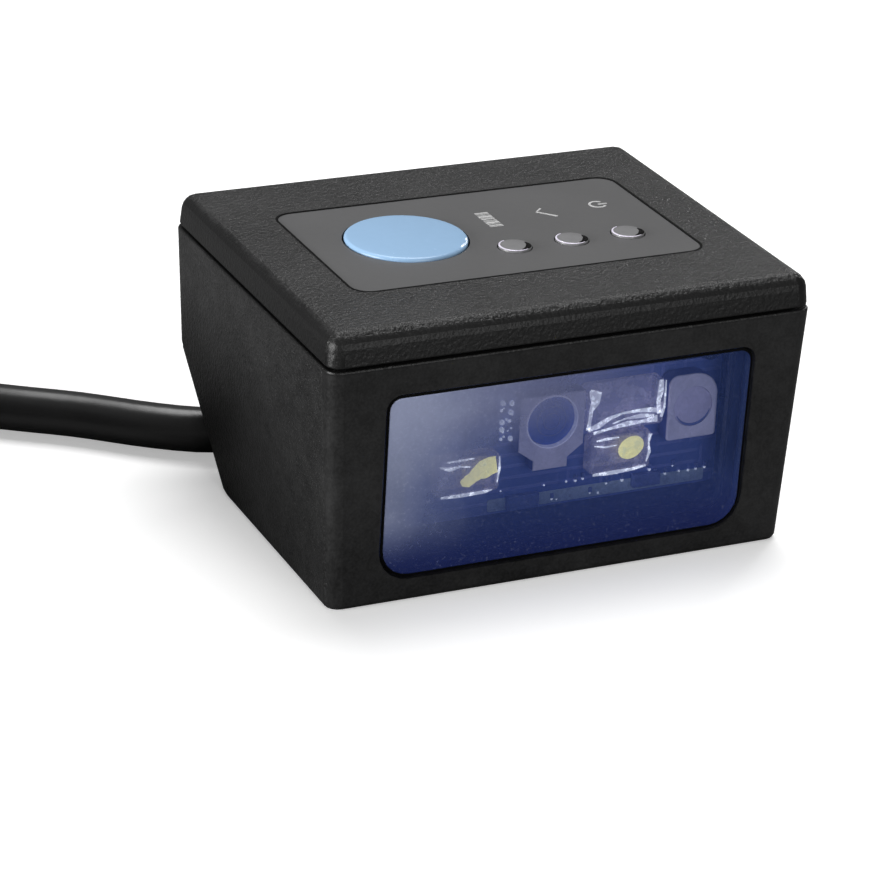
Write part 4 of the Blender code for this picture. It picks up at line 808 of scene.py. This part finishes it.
# %% Line round the window
LINE_WIDTH = 0.00027
LINE_THICKNESS = 0.00003
bm = bmesh.new()
bm.from_mesh(NODES["window"].data)
bmesh.ops.remove_doubles(bm, verts=bm.verts, dist=1e-6)
behind = [face for face in bm.faces if face.normal.y > -0.9]
bmesh.ops.delete(bm, geom=behind, context="FACES")
bmesh.ops.dissolve_limit(bm, angle_limit=0.01, verts=bm.verts[:], edges=bm.edges[:])
middle = bm.faces[:]
bmesh.ops.inset_region(bm, faces=middle, thickness=-LINE_WIDTH, use_boundary=True, use_even_offset=True)
bmesh.ops.delete(bm, geom=middle, context="FACES")
bmesh.ops.solidify(bm, geom=bm.faces[:], thickness=-LINE_THICKNESS)
# painted shade: a black sliver round the window's edge
line = place_piece("window_line", bm, RUBBER_AND_SHADE)
print("line round the window:", len(line.data.polygons), "faces")

# %% [markdown]
# The key is a shallow button of blue plastic that stands just proud of the
# label. Its rim is a tight radius, which is what draws the thin light line round
# it, and its top is very slightly crowned.

# %% Trigger key
KEY_X, KEY_Y = -0.00840, 0.00080
KEY_RADIUS = 0.00603
KEY_FOOT, KEY_TOP = 0.02595, 0.02848
KEY_CROWN = 0.00018
KEY_EDGE = 0.00034
profile = [(0, KEY_FOOT), (KEY_RADIUS, KEY_FOOT)]
profile += shoulder(KEY_RADIUS, KEY_TOP, KEY_EDGE, 6)
profile += crown(KEY_RADIUS - KEY_EDGE, KEY_TOP, KEY_CROWN, 8)
bm = bmesh.new()
spun(bm, profile, 96)
bmesh.ops.translate(bm, verts=bm.verts, vec=(KEY_X, KEY_Y, 0))
key = place_piece("trigger_key", bm, KEY, "button", ("trigger_button",))
print("key faces:", len(key.data.polygons))

# %% [markdown]
# Two short glints sit on the rim at the front right. They are slivers of their
# own that ride with the key, so they stay sharp at any size.

# %% Glints on the key's rim
GLINT_RADIUS = KEY_RADIUS - 0.00022
bm = bmesh.new()
for first, sweep in ((-48, 11), (-30, 7)):
    spots = crescent((KEY_X, KEY_Y), GLINT_RADIUS, first, sweep, 0.00004, 0.00016, 8)
    streak(bm, spots, KEY_TOP - 0.00004, 0.00008, 1.0)
glints = place_piece("key_rim_glints", bm, PAINTED_GLINT, "button")
print("glints:", len(glints.data.polygons), "faces")

# %% [markdown]
# Each indicator is a clear rod that carries the light of an LED from the board
# below up through the lid. It stands in a hole a hair wider than itself. One side
# of its flat end shines and the other looks into the dark hole, so a bright arc
# and a dark crescent are laid on it as thin slivers.

# %% Indicator lenses
LAMP_X = (0.00080, 0.00690, 0.01300)
LAMP_Y = -0.00440
LAMP_RADIUS = 0.00162
LAMP_EDGE = 0.00010
LAMP_FOOT, LAMP_FACE = 0.0253, 0.02835
ARC, SHADE = (110, 190, 0.00018), (-85, 105, 0.00060)
lit_arcs, shades = bmesh.new(), bmesh.new()
for i, x in enumerate(LAMP_X):
    profile = [(0, LAMP_FOOT), (LAMP_RADIUS, LAMP_FOOT)]
    profile += shoulder(LAMP_RADIUS, LAMP_FACE, LAMP_EDGE, 3)
    profile += [(LAMP_RADIUS * 0.5, LAMP_FACE + 0.00002), (0, LAMP_FACE + 0.00003)]
    bm = bmesh.new()
    spun(bm, profile, 48)
    bmesh.ops.translate(bm, verts=bm.verts, vec=(x, LAMP_Y, 0))
    place = ("left", "middle", "right")[i]
    place_piece(f"indicator_{place}", bm, FROSTED, stands_for=(f"indicator_lens_{place}",))
    # painted highlight on one side of each lens, painted shade on the other
    for made, (first, sweep, widest) in ((lit_arcs, ARC), (shades, SHADE)):
        radius = LAMP_RADIUS - widest * 0.5
        spots = crescent((x, LAMP_Y), radius, first, sweep, 0.00005, widest * 0.85, 24)
        streak(made, spots, LAMP_FACE, 0.00005, 1.0)
place_piece("indicator_lit_arcs", lit_arcs, PAINTED_SHINE)
place_piece("indicator_shaded_sides", shades, RUBBER_AND_SHADE)
print("indicators:", len(LAMP_X))

# %% [markdown]
# The label's three marks are printed in white ink, one behind each indicator:
# bars for a scan, a tick for a good read and a ring with a stroke for power.
# Each is a sheet of ink three hundredths of a millimetre thick.

# %% Marks on the label
PRINT = 0.00003


def printed(bm, outline):
    prism(bm, outline, LABEL_TOP, LABEL_TOP + PRINT)


MARK_WIDTH = 0.00024
MARK_HALF = 0.00070
MARK_SHIFT = 0.00075
# each bar and the gap after it, in halves of a mark's width
BARS = ((2, 1), (1, 2), (1, 1), (3, 1), (1, 1), (2, 2), (1, 1), (1, 1), (3, 1), (1, 2), (2, 1), (1, 1))
bm = bmesh.new()
x, bar_y = LAMP_X[0] + MARK_SHIFT, 0.0052
for bar, gap in BARS:
    half = bar * MARK_WIDTH / 4
    printed(bm, rounded(2 * MARK_HALF, 2 * half, half * 0.2, (x, bar_y - half), 1))
    bar_y -= (bar + gap) * MARK_WIDTH / 2
place_piece("mark_scan", bm, INK)

bm = bmesh.new()
x, y = LAMP_X[1] + MARK_SHIFT, 0.0034
tick = [(x + 0.0001, y + 0.0011), (x - MARK_HALF, y + 0.0003), (x + MARK_HALF * 1.2, y - 0.0014)]
printed(bm, ribbon([(*corner, MARK_WIDTH) for corner in tick]))
place_piece("mark_tick", bm, INK)

bm = bmesh.new()
x, y = LAMP_X[2] + MARK_SHIFT, 0.0038
printed(bm, ribbon(crescent((x, y), MARK_HALF * 1.15, 40, 280, MARK_WIDTH, 0.0, 24)))
printed(bm, ribbon([(x + 0.0001, y, MARK_WIDTH), (x + MARK_HALF * 1.45, y, MARK_WIDTH)]))
place_piece("mark_power", bm, INK)
print("bars in the first mark:", len(BARS))

# %% [markdown]
# The camera of the engine sits in a square-shouldered holder. Behind the front
# ring, two smaller rings step down to the pupil, and the glass between them has
# a blue coating. The rings are turned, and the glass is a shallow dome.

# %% Camera lens
CAMERA_X, CAMERA_Z = -0.00020, 0.01490
CAMERA_BORE = 0.00270
RING_FOOT, RING_TOP = 0.0010, 0.00164
RING_OUTER, RING_INNER = CAMERA_BORE + 0.00002, CAMERA_BORE - 0.00010
GLASS_RADIUS = 0.00252
GLASS_BACK, GLASS_EDGE = 0.00068, 0.00120
GLASS_CROWN = 0.00026
INNER_RINGS = ((0.00150, 0.00134), (0.00080, 0.00141))
bm = bmesh.new()
middle = (RING_OUTER + RING_INNER) / 2
painted_shine = [(RING_OUTER, RING_FOOT), (RING_OUTER, RING_TOP), (middle, RING_TOP + 0.00004)]
painted_shine += [(RING_INNER, RING_TOP), (RING_INNER, RING_FOOT), (RING_OUTER, RING_FOOT)]
spun(bm, painted_shine, 64)
to_board(bm, CAMERA_X, CAMERA_Z)
# painted shine: the front ring glows pale
place_piece("camera_front_ring", bm, PAINTED_SHINE)

bm = bmesh.new()
dome = [(0, GLASS_BACK), (GLASS_RADIUS, GLASS_BACK), (GLASS_RADIUS, GLASS_EDGE)]
spun(bm, dome + crown(GLASS_RADIUS, GLASS_EDGE, GLASS_CROWN, 9), 64)
to_board(bm, CAMERA_X, CAMERA_Z)
place_piece("camera_glass", bm, LENS_BLUE, stands_for=("camera_lens",))

bm = bmesh.new()
for radius, low in INNER_RINGS:
    outer, high = radius + 0.00006, low + 0.00005
    ring = [(radius, low), (outer, low), (outer, high), (radius, high)]
    spun(bm, [*ring, ring[0]], 48)
to_board(bm, CAMERA_X, CAMERA_Z)
place_piece("camera_inner_rings", bm, PART_AND_SHADE)
print("camera's bore:", 2 * CAMERA_BORE, "m")

# %% [markdown]
# The aimer throws the spot that shows where the reader looks. Its lens is a flat
# disc with a small bevel, and a dark crescent low on it is the shade of the rim
# round it.

# %% Aimer
AIMER_X, AIMER_Z = 0.01490, 0.01440
bm = bmesh.new()
disc = [(0, 0.00100), (0.00206, 0.00100), (0.00206, 0.00156), (0.00196, 0.00160), (0, 0.00160)]
spun(bm, disc, 56)
to_board(bm, AIMER_X, AIMER_Z)
place_piece("aimer_glass_disc", bm, LENS_VIOLET, stands_for=("aimer_lens",))

bm = bmesh.new()
streak(bm, crescent((0, 0), 1.9, 205, 140, 0.06, 0.22, 16), 0.00161, 0.00003)
to_board(bm, AIMER_X, AIMER_Z)
# painted shade: a dark crescent on the aimer's disc
place_piece("aimer_shaded_rim", bm, PART_AND_SHADE)
print("aimer's disc:", 2 * disc[1][0], "m")

# %% [markdown]
# Each light is a white LED under a clear cap shaped like a small tray. Its yellow
# phosphor is seen through the cap and bent by it: a round patch in one, and a
# torn one in the other. The patch is drawn as a thin plate on the cap.

# %% Phosphor patches
LIGHTS_X = (-0.00870, 0.00740)
LIGHT_Z = 0.01050
CAP_DEPTH = 0.0016
PHOSPHOR_LEFT = [
    (-0.9, -0.4, 0.2), (-0.6, -0.5, 0.9), (-0.2, -0.5, 1.3), (0.3, -0.2, 1.2), (0.8, 0.2, 1.5),
    (1.4, 0.5, 2.0), (2.2, 0.8, 1.9), (2.8, 0.9, 1.7),
]
PHOSPHOR_RIGHT = []
for step in range(11):
    angle = math.radians(10 + 160 * step / 10)
    share = math.cos(angle)
    PHOSPHOR_RIGHT.append((1.0 - 1.3 * share, 0.5 - 0.5 * share, 2.3 * math.sin(angle)))
for side, x, patch in zip(("left", "right"), LIGHTS_X, (PHOSPHOR_LEFT, PHOSPHOR_RIGHT)):
    bm = bmesh.new()
    streak(bm, patch, CAP_DEPTH + 0.00001, 0.00006)
    to_board(bm, x, LIGHT_Z)
    # painted light: the phosphor patch glows
    place_piece(f"{side}_phosphor", bm, PHOSPHOR)
print("patches drawn through", len(PHOSPHOR_LEFT), "and", len(PHOSPHOR_RIGHT), "spots")

# %% [markdown]
# The walls of the tray-shaped caps gather the studio's light. Each bright wall is
# a painted highlight, a glowing ridge of its own in front of the clear body,
# drawn through a few spots of (x, y, width) in millimetres from the middle of
# its cap.

# %% Light caps
CAP_STREAKS = (
    (
        [(-2.9, -1.8, 0.18), (-1.0, -1.86, 0.36), (1.6, -1.8, 0.3), (2.4, -1.7, 0.1)],
        [(-3.1, 1.4, 0.12), (-2.1, 1.05, 0.44), (-1.0, 1.2, 0.2), (0.1, 1.0, 0.08)],
        [(-2.4, 1.8, 0.08), (-1.2, 1.82, 0.22), (0.4, 1.86, 0.12)],
        [(3.05, 1.7, 0.12), (3.1, 0.4, 0.22), (2.9, -1.0, 0.08)],
    ),
    (
        [(-3.0, -1.84, 0.24), (-1.2, -1.86, 0.4), (1.2, -1.8, 0.3), (2.7, -1.6, 0.2)],
        [(-2.8, 1.7, 0.12), (-1.6, 1.8, 0.3), (-0.4, 1.8, 0.1)],
        [(3.0, 1.7, 0.4), (2.85, 0.8, 0.14), (3.0, -0.2, 0.3), (2.7, -1.2, 0.1)],
        [(-3.0, 1.2, 0.08), (-1.8, 0.95, 0.18), (-0.6, 1.0, 0.08)],
    ),
)
for side, x, ridges in zip(("left", "right"), LIGHTS_X, CAP_STREAKS):
    dress(f"{side}_led_lens", CLEAR)
    bm = bmesh.new()
    for spots in ridges:
        streak(bm, spots, CAP_DEPTH + 0.00008, 0.00008)
    to_board(bm, x, LIGHT_Z)
    place_piece(f"{side}_cap_painted_highlights", bm, PAINTED_GLINT)
print("bright walls:", sum(len(ridges) for ridges in CAP_STREAKS))

# %% [markdown]
# The light guide above the right light is a clear block with a dished foot. Only
# its edges show: a wide bright wall on the left, a tall one on the right, and
# the dish's edge, which is seen three times over in the plastic. All of them are
# painted highlights, glowing ridges in front of the block.

# %% Light guide
GUIDE_X, GUIDE_Z = 0.00760, 0.01545
GUIDE_DEPTH = 0.0017
GUIDE_STREAKS = (
    [(-4.0, 2.2, 0.3), (-3.4, 1.6, 1.3), (-3.4, 0.9, 0.9), (-3.8, 0.1, 0.4),
     (-3.9, -1.0, 0.3), (-4.0, -1.9, 0.5)],
    [(3.6, 2.3, 0.4), (3.6, 1.2, 0.6), (3.4, 0.1, 0.4), (3.6, -1.2, 0.5)],
    [(4.1, 2.2, 0.12), (4.1, 0.8, 0.16), (4.1, -0.6, 0.2), (3.8, -1.6, 0.3)],
    [(-4.0, -1.9, 0.4), (-2.9, -1.6, 0.56), (-1.8, -1.0, 0.4), (-0.4, -0.65, 0.2),
     (1.2, -0.6, 0.3), (2.6, -0.7, 0.5), (3.7, -0.9, 0.4)],
    [(-3.4, -2.35, 0.3), (-1.8, -2.1, 0.22), (0.2, -1.8, 0.5), (1.8, -1.8, 0.3),
     (3.4, -1.7, 0.7)],
    [(-1.4, -1.6, 0.1), (0.0, -1.25, 0.14), (1.6, -1.2, 0.44), (3.0, -1.3, 0.2)],
)
dress("light_guide", CLEAR)
bm = bmesh.new()
for spots in GUIDE_STREAKS:
    streak(bm, spots, GUIDE_DEPTH, 0.00010)
to_board(bm, GUIDE_X, GUIDE_Z)
place_piece("guide_painted_highlights", bm, PAINTED_GLINT)
print("bright edges:", len(GUIDE_STREAKS))

# %% [markdown]
# A populated board is full of small parts: resistors and capacitors no bigger
# than a grain of sugar, with beads of solder beside them. They are scattered in
# a few loops by seeded random numbers, so every run gives the same board.

# %% Small parts on the engine board
PROUD = 0.00002
random.seed(11)


def chip_block(bm, x, z, width, height, depth):
    prism(bm, rounded(width, height, min(width, height) * 0.08, (x, z), 2), 0, depth, depth * 0.15, 1)


def bead(bm, x, z, radius):
    made = bmesh.ops.create_icosphere(bm, subdivisions=2, radius=radius)
    bmesh.ops.translate(bm, verts=made["verts"], vec=(x, z, radius * 0.55))


chips, beads = bmesh.new(), bmesh.new()
chip_block(chips, -0.0069, 0.0145, 0.0034, 0.0036, 0.00070)
chip_block(chips, 0.0111, 0.00655, 0.0030, 0.0013, 0.00060)
chip_block(chips, -0.0022, 0.00625, 0.0034, 0.0014, 0.00060)
for row in range(5):
    for column in range(3):
        x = -0.0047 + column * 0.00085 + random.uniform(-0.0002, 0.0002)
        z = 0.0130 + row * 0.00095 + random.uniform(-0.0002, 0.0002)
        bead(beads, x, z, random.choice((0.00010, 0.00016, 0.00028)))
        bead(beads, x + random.uniform(0.0001, 0.0005), z + random.uniform(-0.0003, 0.0003), 0.00013)
        if random.random() < 0.6:
            chip_block(chips, x + 0.00042, z, 0.0005, 0.0003, 0.00022)
for step in range(26):
    x = -0.0044 + step * 0.00088 + random.uniform(-0.0002, 0.0002)
    z = 0.0058 + random.choice((0.0, 0.0009, 0.0017)) + random.uniform(-0.0001, 0.0001)
    bead(beads, x, z, random.uniform(0.00008, 0.00017))
    if random.random() < 0.5:
        chip_block(chips, x, z + 0.0004, 0.0003, 0.0005, 0.00025)
for step in range(14):
    x = random.uniform(-0.0128, -0.0060)
    z = random.uniform(0.0133, 0.0185)
    chip_block(chips, x, z, 0.0006, 0.0003, 0.00024)
    bead(beads, x + 0.0004, z, 0.00009)
to_board(chips, 0, 0, BOARD_FRONT - PROUD)
to_board(beads, 0, 0, BOARD_FRONT - PROUD)
chips_made = place_piece("engine_chips", chips, PART_AND_SHADE)
# the white of the solder beads is a painted glint
beads_made = place_piece("solder_beads", beads, BEAD)
print("chips:", len(chips_made.data.polygons), "faces; beads:", len(beads_made.data.polygons), "faces")

# %% [markdown]
# The lacquer stops short of the board's foot, so a strip of the pale laminate
# shows there. It is a sheet a few hundredths of a millimetre thick.

# %% Laminate strip
LAMINATE = moulded("laminate", (0.52, 0.58, 0.62), 0.55, 0.0005, 0.00003, 0.7, 0.3, 0.35)
STRIP_WIDTH, STRIP_HEIGHT = 0.0234, 0.0013
STRIP_MIDDLE = (0.0059, 0.0061)
bm = bmesh.new()
prism(bm, rounded(STRIP_WIDTH, STRIP_HEIGHT, 0.0002, STRIP_MIDDLE, 3), 0, 0.00006)
to_board(bm, 0, 0, BOARD_FRONT - PROUD / 2)
place_piece("laminate_strip", bm, LAMINATE)
print("strip:", STRIP_WIDTH, "by", STRIP_HEIGHT, "m")

# %% [markdown]
# The floor is a white sheet. To the camera it glows a little, enough to reach
# paper white where nothing shades it, while every other ray sees a plain matt
# sheet, so no extra light falls on the reader.

# %% Floor
FLOOR_GLOW = 0.38


def floor_material():
    made, wire, place = start_material("white_sheet")
    seen = wire.node("ShaderNodeLightPath", output="Is Camera Ray")
    fibres = noise(wire, place, 0.002, 2.0)
    dull = fibres.mix(rgba((0.19, 0.19, 0.19)), rgba((0.21, 0.21, 0.21)))
    pale = fibres.mix(rgba((0.98, 0.98, 0.98)), rgba((1.0, 1.0, 1.0)))
    matt = wire.node("ShaderNodeBsdfDiffuse", {}, {"Color": dull})
    paper = wire.node("ShaderNodeBsdfDiffuse", {}, {"Color": pale})
    glow = wire.node("ShaderNodeEmission", {}, {"Color": rgba((1, 1, 1)), "Strength": FLOOR_GLOW})
    lifted = wire.node("ShaderNodeAddShader", {}, {0: paper, 1: glow})
    end_material(wire, wire.node("ShaderNodeMixShader", {}, {0: seen, 1: matt, 2: lifted}))
    return made


bm = bmesh.new()
bmesh.ops.create_grid(bm, x_segments=2, y_segments=2, size=4.0)
mesh = bpy.data.meshes.new("floor")
bm.to_mesh(mesh)
bm.free()
mesh.materials.append(floor_material())
floor = bpy.data.objects.new("floor", mesh)
bpy.context.scene.collection.objects.link(floor)
print("floor:", round(floor.dimensions.x, 2), "m wide")

# %% [markdown]
# The world is white to the camera too, and dim to everything else: a black
# reader in a white room would turn grey.

# %% World
ROOM_LIGHT = 0.13
world = bpy.data.worlds.new("studio")
world.use_nodes = True
world.node_tree.nodes.clear()
sky = Wire(world.node_tree)
seen = sky.node("ShaderNodeLightPath", output="Is Camera Ray")
dim = sky.node("ShaderNodeBackground", {}, {"Color": rgba((1, 1, 1)), "Strength": ROOM_LIGHT})
white = sky.node("ShaderNodeBackground", {}, {"Color": rgba((1, 1, 1)), "Strength": 1.0})
shown = sky.node("ShaderNodeMixShader", {}, {0: seen, 1: dim, 2: white})
sky.node("ShaderNodeOutputWorld", {}, {"Surface": shown})
bpy.context.scene.world = world
print("room light:", ROOM_LIGHT)

# %% [markdown]
# One large soft box hangs over the reader, a second stands to its left, and a
# narrow strip low at the back right lights small glints on the key and the
# indicators, where painted glints are laid as well. A weak box near the camera
# lights the engine through the window.

# %% Lamps
def soft_box(name, place, target, width, height, power):
    data = bpy.data.lights.new(name, "AREA")
    data.shape = "RECTANGLE"
    data.size = width
    data.size_y = height
    data.energy = power
    lamp = bpy.data.objects.new(name, data)
    lamp.location = place
    lamp.rotation_euler = (Vector(target) - Vector(place)).to_track_quat("-Z", "Y").to_euler()
    bpy.context.scene.collection.objects.link(lamp)


soft_box("top_box", (0.13, 0.24, 0.72), (0, 0, 0), 0.45, 0.45, 4.3)
soft_box("left_box", (-0.65, -0.04, 0.12), (0, 0, 0.01), 0.4, 0.2, 4.6)
soft_box("front_box", (0.10, -0.80, 0.22), (0, 0, 0.01), 0.4, 0.3, 1.6)
soft_box("glint_strip", (0.56, 0.45, 0.20), (0, 0, 0.028), 0.05, 0.30, 0.60)
print("lamps:", len(bpy.data.lights))
